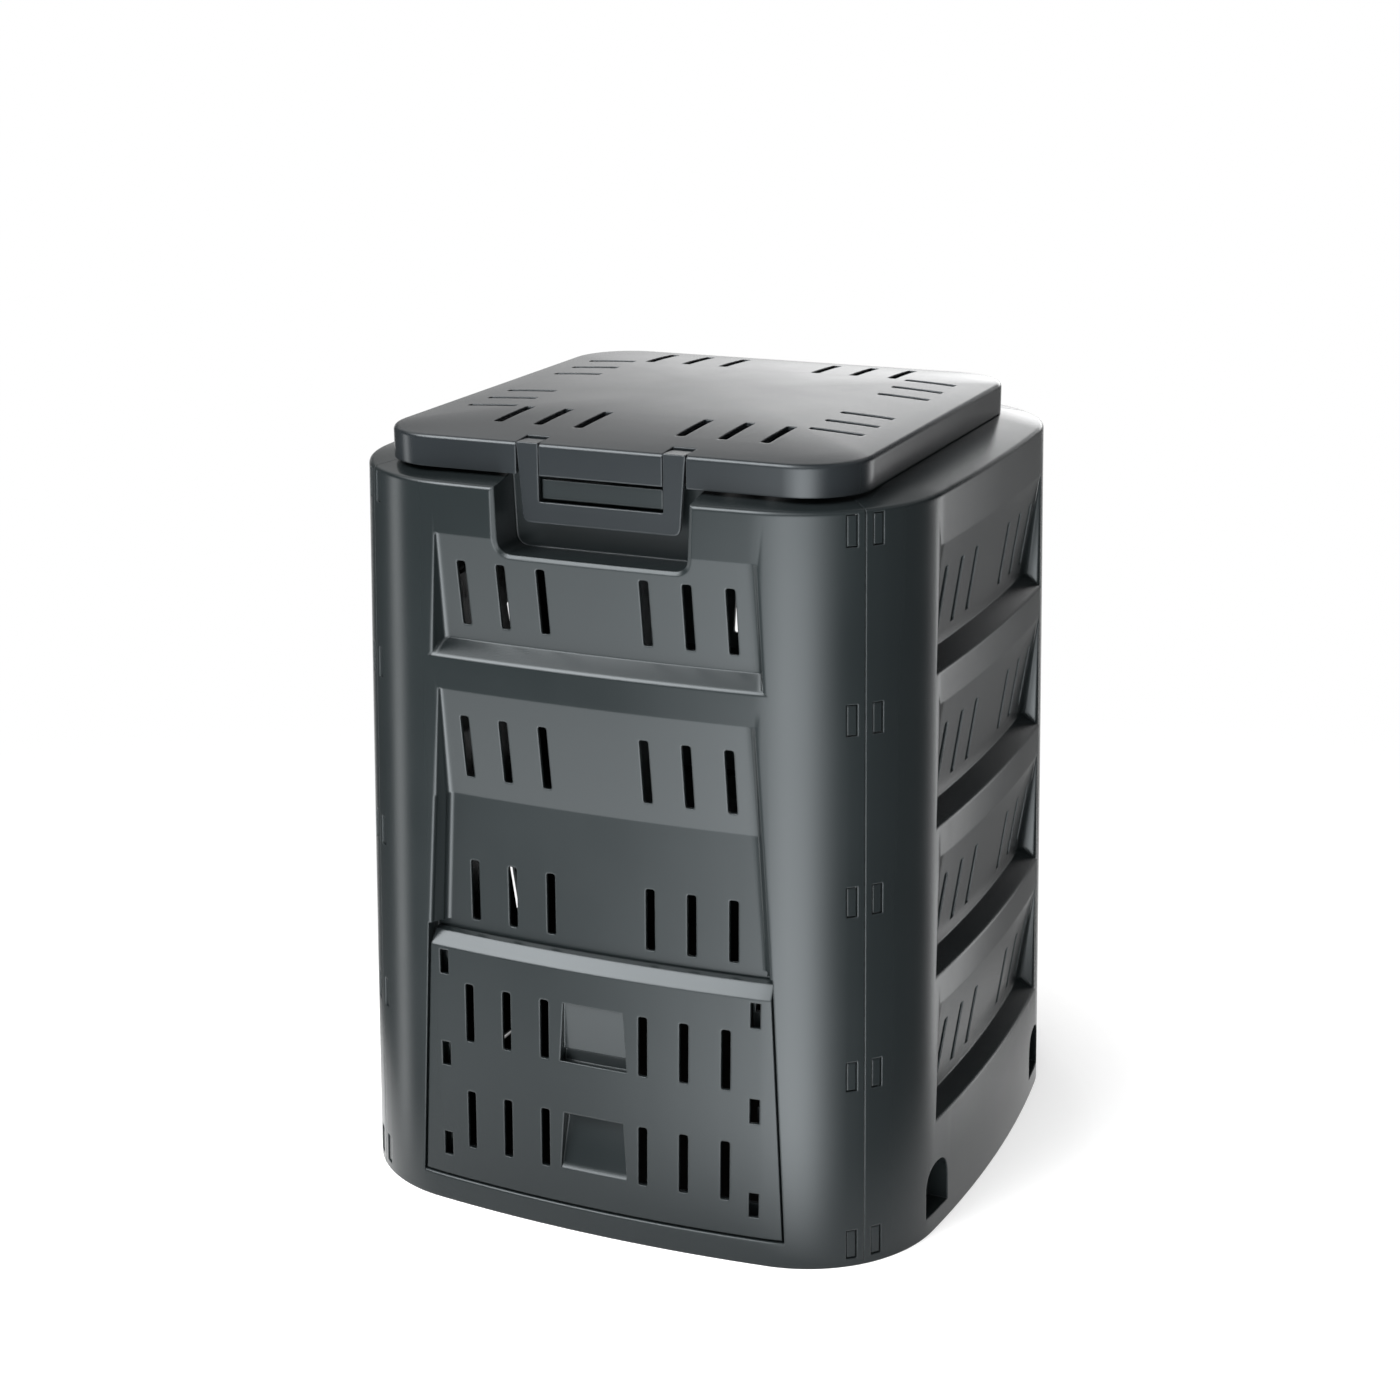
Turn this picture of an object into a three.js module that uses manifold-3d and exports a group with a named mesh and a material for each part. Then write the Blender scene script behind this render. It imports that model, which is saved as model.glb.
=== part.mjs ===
// Garden compost bin with a hinged lid, a swing latch and a lift-out emptying door.
// Millimetres, +Z up. The origin is on the ground under the middle of the bin, and the front faces -Y.
import * as THREE from "three";
import { mergeVertices } from "three/addons/utils/BufferGeometryUtils.js";
import Module from "manifold-3d";

// Driving dimensions of the body: four bowed walls that taper upwards and meet in wide rounded corners
const baseWidth = 665;
const bodyTaper = 42;
const rimHeight = 779;
const baseSideRadius = 1640;
const rimSideRadius = 3280;
const cornerRadius = 151;
const facetShares = [0.1173, 0.1835, 0.2707, 0.3128];
const wallThickness = 4;
const seamGap = 0.5;
const rimRounding = 5;
const shoulderRun = 46;
const shoulderRise = 8;
const footFlangeWidth = 20;
const rimShelf = 83.5;
const mouthCornerRadius = 60;
const mouthLipDepth = 22;

// Louvre recesses of the walls: each floor slopes inwards down to a ledge that sheds the rain
const recessTopDrop = 51.4;
const recessStackFoot = 122.9;
const recessGap = 33.3;
const recessDepth = 19;
const ledgeDrop = 15;
const flankDraft = 0.6;
const recessSideMargin = 162;
const recessWidening = 17;
const sideRecessCount = 4;
const deepPanelKinkLift = 10.2;
const deepPanelDepth = 21;

// Ventilation slots, in two groups of three columns
const slotWidth = 10;
const innerColumn = 55.3;
const outerColumnMargin = 26.4;
const recessSlotDrop = 26.8;
const recessSlotLift = 31.4;
const lowerSlotShares = [0.029, 0.5];

// Emptying door: a trapezium that stands in a rebate of the front wall and hangs on hooks
const doorRebateFoot = 27;
const doorRebateTop = 312;
const doorRebateDepth = 21;
const doorRebateTopMargin = 140.5;
const doorRebateFootMargin = 125.5;
const doorSideClearance = 3;
const doorFootClearance = 0.5;
const doorTopSlope = 6;
const doorSkin = 4;
const doorFlangeDepth = 17;
const doorFaceSetBack = 1.5;
const doorOpeningMargin = 30;
const doorLift = 7;
const doorSlotLength = 65;
const doorSlotTops = [252.3, 131.3];
const fingerPocketTopWidth = 67;
const fingerPocketFootWidth = 75;
const fingerPocketHeight = 63;
const fingerPocketDepth = 15;
const fingerPocketFloor = 4;
const hookWindowTops = [285, 181.8, 78.4];
const hookWindowWidth = 10.5;
const hookWindowHeight = 27;
const hookInset = 32.5;
const hookWidth = 5.5;
const hookThickness = 4;
const hookLength = 23;
const hookGrip = 5;
const hookPlay = 2;

// Corner connectors: two-pronged clips that bridge each seam from the inside
const clipRows = 5;
const clipFootLevel = 24;
const clipRimDrop = 19.8;
const clipWindowWidth = 10;
const clipWindowHeight = 30;
const clipWindowOffset = 13.6;
const clipPlay = 0.4;
const clipFaceSetBack = 0.5;
const clipPlateThickness = 3;
const clipPlateHalfWidth = 20;
const clipPlateHeight = 20;

// Hand notch and latch keeper of the front wall
const notchWidth = 212;
const notchFootWidth = 202;
const notchHeight = 67;
const notchDepth = 46;
const notchRounding = 15;
const keeperClearance = 2.5;
const keeperHeight = 19;
const keeperDrop = 3;

// Lid
const lidOverhang = 27;
const lidFrontReach = 30;
const lidBackReach = 5;
const lidCornerRadius = 68;
const lidSeat = 1;
const lidSkirtHeight = 32;
const lidCrown = 8;
const lidEdgeRounding = 5;
const lidThickness = 4;
const frontSlotInset = 35;
const frontSlotLength = 74;
const sideSlotInset = 37.5;
const sideSlotLength = 56;

// Swing latch: a wide U hung in two channels of the lid
const latchTopWidth = 179;
const latchFootWidth = 167;
const latchWindowWidth = 133;
const latchHeight = 79;
const latchBarHeight = 21;
const latchThickness = 4;
const latchCornerRounding = 8;
const latchWindowRounding = 2.5;
const latchPivotBehindFace = 17;
const latchPivotDrop = 8;
const latchTabOverrun = 3;
const latchBarrelRadius = 6;
const channelClearance = 1;
const channelLength = 27;
const latchPinRadius = 2.5;
const latchEarWidth = 7;
const latchEarDrop = 8;

// Lid hinge
const hingeColumn = 150;
const hingeBehindLid = 14;
const hingeRise = 9;
const hingeBarrelRadius = 7;
const hingeKnuckleWidth = 24;
const hingeEarWidth = 6;
const hingePinRadius = 3;
const hingePinHead = 1.5;

// Ground-peg openings at the feet of the side walls
const pegInset = 155.5;
const pegWidth = 52;
const pegTop = 76;
const pegFoot = 20;
const pegSpring = 48;
const pegDepth = 20;
const pegHoleHeight = 16;

// Fits and allowances
const turnGap = 0.3;
const sideGap = 0.5;
const overCut = 3;
const weldDistance = 0.001;

// Counts of facets
const cornerSteps = 6;
const edgeSteps = 2;
const roundSteps = 12;
const archSteps = 3;

// Sizes that follow from those above
const rimWidth = baseWidth - bodyTaper;
const facetColumns = facetShares.map((share) => share * baseWidth);
const bodyCap = rimHeight + shoulderRise;
const mouthWidth = rimWidth - 2 * rimShelf;
const recessTop = rimHeight - recessTopDrop;
const recessPitch = (recessTop - recessStackFoot + recessGap) / sideRecessCount;
const recessHeight = recessPitch - recessGap;
const recessTopWidth = baseWidth - 2 * recessSideMargin;
const recessFlare = recessWidening / recessHeight;
const ledgeSlope = ledgeDrop / recessDepth;
const deepPanelTop = recessTop - recessPitch;
const deepPanelKink = deepPanelTop - recessHeight + deepPanelKinkLift;
const recessSlotLength = recessHeight - recessSlotDrop - recessSlotLift;
const columnPitch = (recessTopWidth / 2 - outerColumnMargin - innerColumn) / 2;
const doorRebateTopWidth = baseWidth - 2 * doorRebateTopMargin;
const doorRebateFootWidth = baseWidth - 2 * doorRebateFootMargin;
const hookColumn = doorRebateFootWidth / 2 - hookInset;
const clipPitch = (rimHeight - clipRimDrop - clipFootLevel) / (clipRows - 1);
const clipLevels = Array.from({ length: clipRows }, (_, row) => clipFootLevel + row * clipPitch);
const pegColumn = baseWidth / 2 - pegInset;
const notchFloor = rimHeight - notchHeight;
const keeperTop = bodyCap - keeperDrop;
const lidWidth = mouthWidth + 2 * lidOverhang;
const lidFront = lidWidth / 2 + lidFrontReach;
const lidBack = lidWidth / 2 - lidBackReach;
const lidSkirtFoot = bodyCap + lidSeat;
const lidEdgeHeight = lidSkirtFoot + lidSkirtHeight;
const lidTop = lidEdgeHeight + lidCrown;
const latchFoot = lidEdgeHeight - latchHeight;
const latchStrapWidth = (latchTopWidth - latchWindowWidth) / 2;
const latchStrapCentre = (latchTopWidth - latchStrapWidth) / 2;
const latchPivotY = latchPivotBehindFace - lidFront;
const latchPivotHeight = lidEdgeHeight - latchPivotDrop;
const keeperWidth = latchWindowWidth - 2 * keeperClearance;
const hingeSetBack = lidBack + hingeBehindLid;
const hingeHeight = bodyCap + hingeRise;
const quarterTurn = Math.PI / 2;
const sides = [-1, 1];
const columns = [0, 1, 2].flatMap((step) => sides.map((side) => side * (innerColumn + step * columnPitch)));

const wasm = await Module();
wasm.setup();

const plastic = new THREE.MeshStandardMaterial({ color: 0x3f4546, roughness: 0.5, metalness: 0 });
const steel = new THREE.MeshStandardMaterial({ color: 0x8d9194, roughness: 0.35, metalness: 0.9 });

// Solids and geometries

function solidOf(geometry) {
  const bare = geometry.clone();
  bare.deleteAttribute("normal");
  bare.deleteAttribute("uv");
  const merged = mergeVertices(bare, weldDistance);
  const mesh = new wasm.Mesh({
    numProp: 3,
    vertProperties: merged.attributes.position.array,
    triVerts: new Uint32Array(merged.index.array),
  });
  return new wasm.Manifold(mesh);
}

function geometryOf(solid) {
  const mesh = solid.getMesh();
  const geometry = new THREE.BufferGeometry();
  geometry.setAttribute("position", new THREE.BufferAttribute(mesh.vertProperties, mesh.numProp));
  geometry.setIndex(new THREE.BufferAttribute(mesh.triVerts, 1));
  geometry.computeVertexNormals();
  return geometry;
}

function joined(solids) {
  return solids.reduce((sum, solid) => sum.add(solid));
}

// A closed solid through convex outlines that have the same number of points, stacked along their normal.
function loft(outlines) {
  const count = outlines[0].length;
  const index = [];
  for (let level = 0; level + 1 < outlines.length; level += 1) {
    for (let i = 0; i < count; i += 1) {
      const next = (i + 1) % count;
      const [a, b] = [level * count + i, level * count + next];
      index.push(a, b, b + count, a, b + count, a + count);
    }
  }
  const last = (outlines.length - 1) * count;
  for (let i = 1; i + 1 < count; i += 1) {
    index.push(0, i + 1, i);
    index.push(last, last + i, last + i + 1);
  }
  const geometry = new THREE.BufferGeometry();
  geometry.setAttribute("position", new THREE.Float32BufferAttribute(outlines.flat(2), 3));
  geometry.setIndex(index);
  return solidOf(geometry);
}

function block(x, y, z) {
  const geometry = new THREE.BoxGeometry(x[1] - x[0], y[1] - y[0], z[1] - z[0]);
  geometry.translate((x[0] + x[1]) / 2, (y[0] + y[1]) / 2, (z[0] + z[1]) / 2);
  return solidOf(geometry);
}

// A cylinder along X, centred on x.
function rod(radius, length, x, y, z) {
  const geometry = new THREE.CylinderGeometry(radius, radius, length, roundSteps);
  geometry.rotateZ(quarterTurn);
  geometry.translate(x, y, z);
  return solidOf(geometry);
}

// A closed outline drawn in X and Z and pushed along Y.
function extrudedAlongY(shape, y, curveSegments = edgeSteps) {
  const settings = { depth: y[1] - y[0], bevelEnabled: false, curveSegments };
  const geometry = new THREE.ExtrudeGeometry(shape, settings);
  geometry.rotateX(quarterTurn);
  geometry.translate(0, y[1], 0);
  return solidOf(geometry);
}

// A trapezium drawn in X and Z, as wide as each end says, with its foot corners rounded.
function trapezium(topHalf, footHalf, foot, top, rounding) {
  const flank = (footHalf - topHalf) / (top - foot);
  const shape = new THREE.Shape();
  shape.moveTo(-topHalf, top);
  shape.lineTo(-footHalf + flank * rounding, foot + rounding);
  shape.quadraticCurveTo(-footHalf, foot, -footHalf + rounding, foot);
  shape.lineTo(footHalf - rounding, foot);
  shape.quadraticCurveTo(footHalf, foot, footHalf - flank * rounding, foot + rounding);
  shape.lineTo(topHalf, top);
  shape.closePath();
  return shape;
}

// The tapered body

function taper(base, rim, z) {
  return base + ((rim - base) * z) / rimHeight;
}

function bodyHalf(z) {
  return taper(baseWidth, rimWidth, z) / 2;
}

// The plan at a height: where the corner arc is centred, how the side arc is bent and where the two meet.
function planAt(z, inset = 0) {
  const half = bodyHalf(z) - inset;
  const side = 1 / taper(1 / baseSideRadius, 1 / rimSideRadius, z) - inset;
  const corner = cornerRadius - inset;
  const setBack = side - half;
  const centre = (Math.sqrt(2 * (side - corner) ** 2 - setBack ** 2) - setBack) / 2;
  const angle = Math.atan2(centre, setBack + centre);
  return { half, side, corner, centre, angle };
}

// The front wall's face at a place across it and a height: its Y, and the turn of its outward direction.
function faceAt(across, z, inset = 0) {
  const { half, side, corner, centre, angle } = planAt(z, inset);
  const reach = Math.abs(across);
  if (reach <= side * Math.sin(angle)) {
    return { y: side - half - Math.sqrt(side ** 2 - reach ** 2), turn: Math.asin(reach / side) };
  }
  const beyond = reach - centre;
  return { y: -centre - Math.sqrt(corner ** 2 - beyond ** 2), turn: Math.asin(beyond / corner) };
}

function wallFace(across, z) {
  return faceAt(across, z).y;
}

const columnsAcross = [...facetColumns.map((column) => -column).reverse(), 0, ...facetColumns];

// Counterclockwise outline of the body: fixed columns along each wall, then steps round each corner.
function bodyOutline(inset, z) {
  const { corner, centre } = planAt(z, inset);
  const quarter = columnsAcross.map((across) => [across, faceAt(across, z, inset).y]);
  const start = faceAt(facetColumns.at(-1), z, inset).turn;
  for (let step = 1; step < cornerSteps; step += 1) {
    const turn = start + (quarterTurn - 2 * start) * (step / cornerSteps);
    quarter.push([centre + corner * Math.sin(turn), -centre - corner * Math.cos(turn)]);
  }
  const turns = [
    ([x, y]) => [x, y, z],
    ([x, y]) => [-y, x, z],
    ([x, y]) => [-x, -y, z],
    ([x, y]) => [y, -x, z],
  ];
  return turns.flatMap((turned) => quarter.map(turned));
}

function bodyOuter(inset = 0) {
  const outlines = [bodyOutline(inset, 0), bodyOutline(inset, rimHeight - rimRounding)];
  for (let step = 1; step <= edgeSteps; step += 1) {
    const angle = (quarterTurn * step) / edgeSteps;
    const edgeInset = inset + rimRounding * (1 - Math.cos(angle));
    outlines.push(bodyOutline(edgeInset, rimHeight - rimRounding * (1 - Math.sin(angle))));
  }
  outlines.push(bodyOutline(inset + shoulderRun, bodyCap));
  return loft(outlines);
}

function bodyInner() {
  return loft([
    bodyOutline(footFlangeWidth, -overCut),
    bodyOutline(footFlangeWidth, wallThickness),
    bodyOutline(wallThickness, wallThickness),
    bodyOutline(wallThickness, rimHeight - rimRounding),
    bodyOutline(rimRounding + wallThickness, rimHeight - wallThickness),
    bodyOutline(shoulderRun, bodyCap - wallThickness),
  ]);
}

function mouthPrism(inset, bottom, top) {
  const half = mouthWidth / 2 - inset;
  const outline = (z) => roundedRectangle([-half, half], [-half, half], mouthCornerRadius - inset, z);
  return loft([outline(bottom), outline(top)]);
}

// The quarter of the plan that belongs to the front wall, drawn back from both seams.
function quarterWedge() {
  const reach = baseWidth;
  const apex = seamGap * Math.SQRT1_2;
  const outline = (z) => [
    [0, -apex, z],
    [-reach, -apex - reach, z],
    [reach, -apex - reach, z],
  ];
  return loft([outline(-overCut), outline(bodyCap + shoulderRun)]);
}

// A solid let into the front wall, with its facets on the wall's own columns.
// Its profile gives depth behind the face and height; its width follows widthAt.
function letIn(profile, widthAt) {
  const widths = profile.map(([depth, z]) => widthAt(depth, z) / 2);
  const inner = columnsAcross.filter((across) => Math.abs(across) < Math.min(...widths) - overCut);
  const station = (acrossAt) =>
    profile.map(([depth, z], i) => {
      const across = acrossAt(i);
      return [across, wallFace(across, z) + depth, z];
    });
  const between = inner.map((across) => station(() => across));
  return loft([station((i) => -widths[i]), ...between, station((i) => widths[i])]);
}

function recessWidth(top, grow) {
  return (depth, z) => recessTopWidth + 2 * grow + (top - z) * recessFlare - depth * flankDraft;
}

// A louvre recess, or with grow the same recess with its wall round it.
function louvre(top, grow) {
  const foot = top - recessHeight;
  const drop = grow * Math.hypot(1, ledgeSlope);
  const ledgeAt = (depth) => foot + ledgeSlope * depth - drop;
  const profile = [
    [-overCut, top],
    [-overCut, ledgeAt(-overCut)],
    [recessDepth + grow, ledgeAt(recessDepth + grow)],
    [grow, top],
  ];
  return letIn(profile, recessWidth(top, grow));
}

// The second front recess runs on down as a flat panel to the door's rebate.
function deepPanel(grow) {
  const slope = [
    [-overCut, deepPanelTop],
    [-overCut, deepPanelKink],
    [recessDepth + grow, deepPanelKink],
    [grow, deepPanelTop],
  ];
  const flat = [
    [-overCut, deepPanelKink],
    [-overCut, doorRebateTop - grow],
    [deepPanelDepth + grow, doorRebateTop - grow],
    [recessDepth + grow, deepPanelKink],
  ];
  const width = recessWidth(deepPanelTop, grow);
  return letIn(slope, width).add(letIn(flat, width));
}

function rebateWidth(inset) {
  const flare = (doorRebateFootWidth - doorRebateTopWidth) / (doorRebateTop - doorRebateFoot);
  return (depth, z) => doorRebateTopWidth + flare * (doorRebateTop - z) - 2 * inset;
}

// The door's space in the front wall between two depths, drawn in from the rebate's edges.
// A fall lowers the front of its top edge.
function doorSpace(depths, insets, fall = 0) {
  const foot = doorRebateFoot + insets.foot;
  const top = doorRebateTop - insets.top;
  const profile = [
    [depths[0], top - fall],
    [depths[0], foot],
    [depths[1], foot],
    [depths[1], top],
  ];
  return letIn(profile, rebateWidth(insets.side));
}

// One upright slot, cut square to the wall's plane between two depths.
function uprightSlot(across, top, length, depths) {
  const half = slotWidth / 2;
  const face = wallFace(across, top - length / 2);
  return block([across - half, across + half], [face + depths[0], face + depths[1]], [top - length, top]);
}

function slotRow(top, length, depths) {
  return joined(columns.map((across) => uprightSlot(across, top, length, depths)));
}

const throughRecess = [-overCut, deepPanelDepth + wallThickness + 2 * overCut];

function louvreSlots(top) {
  return slotRow(top - recessSlotDrop, recessSlotLength, throughRecess);
}

// The window for one prong beside the right-hand seam of the front wall, cut along the seam's direction.
function clipWindow(level) {
  const geometry = new THREE.BoxGeometry(clipWindowWidth, baseWidth, clipWindowHeight);
  geometry.translate(-clipWindowOffset, -(baseWidth + mouthWidth) / 2, level);
  geometry.rotateZ(quarterTurn / 2);
  return solidOf(geometry);
}

function mirrored(solid) {
  return solid.mirror([1, 0, 0]);
}

function clipWindows() {
  const right = joined(clipLevels.map(clipWindow));
  return right.add(mirrored(right));
}

// Walls

function wallBlank(cuts, backings) {
  const hollow = bodyInner().subtract(joined(backings));
  const lip = mouthPrism(-wallThickness, bodyCap - mouthLipDepth, bodyCap);
  const mouth = mouthPrism(0, bodyCap - mouthLipDepth - overCut, bodyCap + overCut);
  const shell = bodyOuter().subtract(hollow).add(lip.subtract(mouth)).subtract(mouth);
  return shell.subtract(joined(cuts)).subtract(clipWindows()).intersect(quarterWedge());
}

// The pointed arch let into the foot of a side wall for a ground peg.
function pegArch(across, grow) {
  const shape = new THREE.Shape();
  const [half, foot, top] = [pegWidth / 2 + grow, pegFoot - grow, pegTop + grow];
  shape.moveTo(across - half, foot);
  shape.lineTo(across + half, foot);
  shape.lineTo(across + half, pegSpring);
  shape.quadraticCurveTo(across + half, top, across, top);
  shape.quadraticCurveTo(across - half, top, across - half, pegSpring);
  shape.closePath();
  const face = wallFace(across, pegFoot);
  return extrudedAlongY(shape, [face - pegWidth, face + pegDepth + grow], archSteps);
}

function pegHole(across) {
  const floor = wallFace(across, pegFoot) + pegDepth;
  const half = pegWidth / 2 - wallThickness;
  const y = [floor - overCut, floor + wallThickness + overCut];
  return block([across - half, across + half], y, [pegFoot, pegFoot + pegHoleHeight]);
}

function sideWall() {
  const tops = Array.from({ length: sideRecessCount }, (_, row) => recessTop - row * recessPitch);
  const pegColumns = sides.map((side) => side * pegColumn);
  const cuts = [
    ...tops.map((top) => louvre(top, 0)),
    ...tops.map(louvreSlots),
    ...pegColumns.map((across) => pegArch(across, 0)),
    ...pegColumns.map(pegHole),
  ];
  const backings = [
    ...tops.map((top) => louvre(top, wallThickness)),
    ...pegColumns.map((across) => pegArch(across, wallThickness)),
  ];
  return wallBlank(cuts, backings);
}

function hingeEars() {
  const reach = hingeKnuckleWidth / 2 + sideGap;
  const foot = bodyCap - wallThickness;
  const ears = sides.flatMap((side) =>
    sides.map((edge) => {
      const inner = side * hingeColumn + edge * reach;
      const x = [inner, inner + edge * hingeEarWidth].sort((a, b) => a - b);
      const y = [-hingeSetBack - hingeBarrelRadius, -hingeSetBack + hingeBarrelRadius];
      const stem = block(x, y, [foot, hingeHeight]);
      return stem.add(rod(hingeBarrelRadius, hingeEarWidth, (x[0] + x[1]) / 2, -hingeSetBack, hingeHeight));
    }),
  );
  const reachOut = 2 * hingeColumn + hingeKnuckleWidth + 2 * hingeEarWidth + 2 * overCut;
  return joined(ears).subtract(rod(hingePinRadius + turnGap, reachOut, 0, -hingeSetBack, hingeHeight));
}

// Drawn in the front wall's place, like the others, and turned to the back.
function rearWall() {
  return sideWall().add(hingeEars());
}

function handNotch(grow) {
  const shape = trapezium(
    notchWidth / 2 + grow,
    notchFootWidth / 2 + grow,
    notchFloor - grow,
    bodyCap + shoulderRun,
    notchRounding + grow,
  );
  const face = wallFace(0, rimHeight);
  return extrudedAlongY(shape, [face - notchDepth, face + notchDepth + grow]);
}

function keeper() {
  const back = wallFace(0, rimHeight) + notchDepth;
  const front = latchThickness + sideGap - lidFront;
  const z = [keeperTop - keeperHeight, keeperTop];
  return block([-keeperWidth / 2, keeperWidth / 2], [front, back + wallThickness], z);
}

// Slots of the rebate's flange that the door's hooks go through, with room for the door's lift.
function hookCatches() {
  const cuts = hookWindowTops.flatMap((top) =>
    sides.map((side) => {
      const half = hookWindowWidth / 2 + hookPlay;
      const z = [top - hookLength + hookGrip, top + doorLift + hookThickness + hookPlay];
      const floor = wallFace(hookColumn, top) + doorRebateDepth;
      const y = [floor - overCut, floor + wallThickness + overCut];
      return block([side * hookColumn - half, side * hookColumn + half], y, z);
    }),
  );
  return joined(cuts);
}

function frontWall() {
  const flatHeight = deepPanelKink - doorRebateTop;
  const [slotFoot, slotTop] = lowerSlotShares.map((share) => doorRebateTop + share * flatHeight);
  const flush = { side: 0, foot: 0, top: 0 };
  const grown = { side: -wallThickness, foot: -wallThickness, top: -wallThickness };
  const opening = { side: doorOpeningMargin, foot: doorOpeningMargin, top: doorOpeningMargin };
  const cuts = [
    louvre(recessTop, 0),
    deepPanel(0),
    louvreSlots(recessTop),
    louvreSlots(deepPanelTop),
    slotRow(slotTop, slotTop - slotFoot, throughRecess),
    doorSpace([-overCut, doorRebateDepth], flush),
    doorSpace([-overCut, doorRebateDepth + wallThickness + overCut], opening),
    hookCatches(),
    handNotch(0),
  ];
  const backings = [
    louvre(recessTop, wallThickness),
    deepPanel(wallThickness),
    doorSpace([-overCut, doorRebateDepth + wallThickness], grown),
    handNotch(wallThickness),
  ];
  return wallBlank(cuts, backings).add(keeper());
}

// Door

function doorTray() {
  const insets = { side: doorSideClearance, foot: doorFootClearance, top: doorLift + sideGap };
  const inside = Object.entries(insets).map(([edge, inset]) => [edge, inset + doorSkin]);
  const hollow = Object.fromEntries(inside);
  hollow.top += doorTopSlope;
  const body = doorSpace([doorFaceSetBack, doorFaceSetBack + doorFlangeDepth], insets, doorTopSlope);
  return body.subtract(doorSpace([doorFaceSetBack + doorSkin, doorRebateDepth + overCut], hollow));
}

// The upper grip is flush at its top and deepest at its foot; the lower one is the other way up.
function fingerPocket(top, deepAtFoot, grow) {
  const foot = top - fingerPocketHeight;
  const depths = [fingerPocketFloor, fingerPocketDepth];
  const [atTop, atFoot] = deepAtFoot ? depths : [...depths].reverse();
  const profile = [
    [doorFaceSetBack - overCut, top + grow],
    [doorFaceSetBack - overCut, foot - grow],
    [atFoot + grow, foot - grow],
    [atTop + grow, top + grow],
  ];
  const flare = (fingerPocketFootWidth - fingerPocketTopWidth) / fingerPocketHeight;
  return letIn(profile, (depth, z) => fingerPocketTopWidth + flare * (top - z) + 2 * grow);
}

function doorHooks() {
  const reach = doorRebateDepth + wallThickness + hookPlay;
  const hooks = hookWindowTops.flatMap((top) =>
    sides.map((side) => {
      const face = wallFace(hookColumn, top);
      const skin = face + doorFaceSetBack + doorSkin / 2;
      const outer = side * (hookColumn + hookWindowWidth / 2);
      const x = [outer, outer - side * hookWidth].sort((a, b) => a - b);
      const [inner, end] = [face + reach, face + reach + hookThickness];
      const stem = block(x, [skin, end], [top, top + hookThickness]);
      return stem.add(block(x, [inner, end], [top - hookLength, top + hookThickness]));
    }),
  );
  return joined(hooks);
}

function hookWindows() {
  const cuts = hookWindowTops.flatMap((top) =>
    sides.map((side) => {
      const face = wallFace(hookColumn, top);
      const x = [side * hookColumn - hookWindowWidth / 2, side * hookColumn + hookWindowWidth / 2];
      const y = [face - 2 * overCut, face + doorFaceSetBack + doorSkin + overCut];
      return block(x, y, [top - hookWindowHeight, top]);
    }),
  );
  return joined(cuts);
}

function door() {
  const grips = doorSlotTops.map((top, row) => ({ top, deepAtFoot: row === 0 }));
  const pockets = grips.map(({ top, deepAtFoot }) => fingerPocket(top, deepAtFoot, 0));
  const backings = grips.map(({ top, deepAtFoot }) => fingerPocket(top, deepAtFoot, wallThickness / 2));
  const throughSkin = [-overCut, doorFaceSetBack + doorSkin + overCut];
  const slots = doorSlotTops.map((top) => slotRow(top, doorSlotLength, throughSkin));
  const cover = doorSpace([doorFaceSetBack, doorRebateDepth], { side: 0, foot: 0, top: 0 });
  const tray = doorTray().add(joined(backings).intersect(cover));
  return tray.subtract(joined([...pockets, ...slots, hookWindows()])).add(doorHooks());
}

// Lid

// Outline of a rounded rectangle, counterclockwise, at one height.
function roundedRectangle(x, y, radius, z) {
  const points = [];
  const centres = [
    [x[1] - radius, y[0] + radius],
    [x[1] - radius, y[1] - radius],
    [x[0] + radius, y[1] - radius],
    [x[0] + radius, y[0] + radius],
  ];
  centres.forEach(([cx, cy], corner) => {
    for (let step = 0; step <= cornerSteps; step += 1) {
      const angle = quarterTurn * (corner - 1 + step / cornerSteps);
      points.push([cx + radius * Math.cos(angle), cy + radius * Math.sin(angle), z]);
    }
  });
  return points;
}

function lidOutline(inset, z, share = 1) {
  const [half, front, back] = [lidWidth / 2 - inset, lidFront - inset, lidBack - inset];
  const radius = (lidCornerRadius - inset) * share;
  return roundedRectangle([-half * share, half * share], [-front * share, back * share], radius, z);
}

const crownShares = [
  [0.9, 0.65],
  [0.4, 1],
];

function lidShape(inset, foot) {
  const outlines = [lidOutline(inset, foot)];
  for (let step = 0; step <= edgeSteps; step += 1) {
    const angle = (quarterTurn * step) / edgeSteps;
    const edgeInset = inset + lidEdgeRounding * (1 - Math.cos(angle));
    outlines.push(lidOutline(edgeInset, lidEdgeHeight - inset - lidEdgeRounding * (1 - Math.sin(angle))));
  }
  const rise = lidTop - lidEdgeHeight;
  crownShares.forEach(([reach, height]) => {
    outlines.push(lidOutline(inset + lidEdgeRounding, lidEdgeHeight - inset + rise * height, reach));
  });
  return loft(outlines);
}

function lidSlots() {
  const z = [lidEdgeHeight - 2 * lidThickness, lidTop + overCut];
  const frontSlotOuter = lidWidth / 2 - frontSlotInset;
  const sideSlotOuter = lidWidth / 2 - sideSlotInset;
  const frontSlotInner = frontSlotOuter - frontSlotLength;
  const sideSlotInner = sideSlotOuter - sideSlotLength;
  const half = slotWidth / 2;
  const cuts = columns.flatMap((column) =>
    sides.flatMap((side) => {
      const along = [side * frontSlotInner, side * frontSlotOuter].sort((a, b) => a - b);
      const across = [side * sideSlotInner, side * sideSlotOuter].sort((a, b) => a - b);
      const strip = [column - half, column + half];
      return [block(strip, along, z), block(across, strip, z)];
    }),
  );
  return joined(cuts);
}

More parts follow.
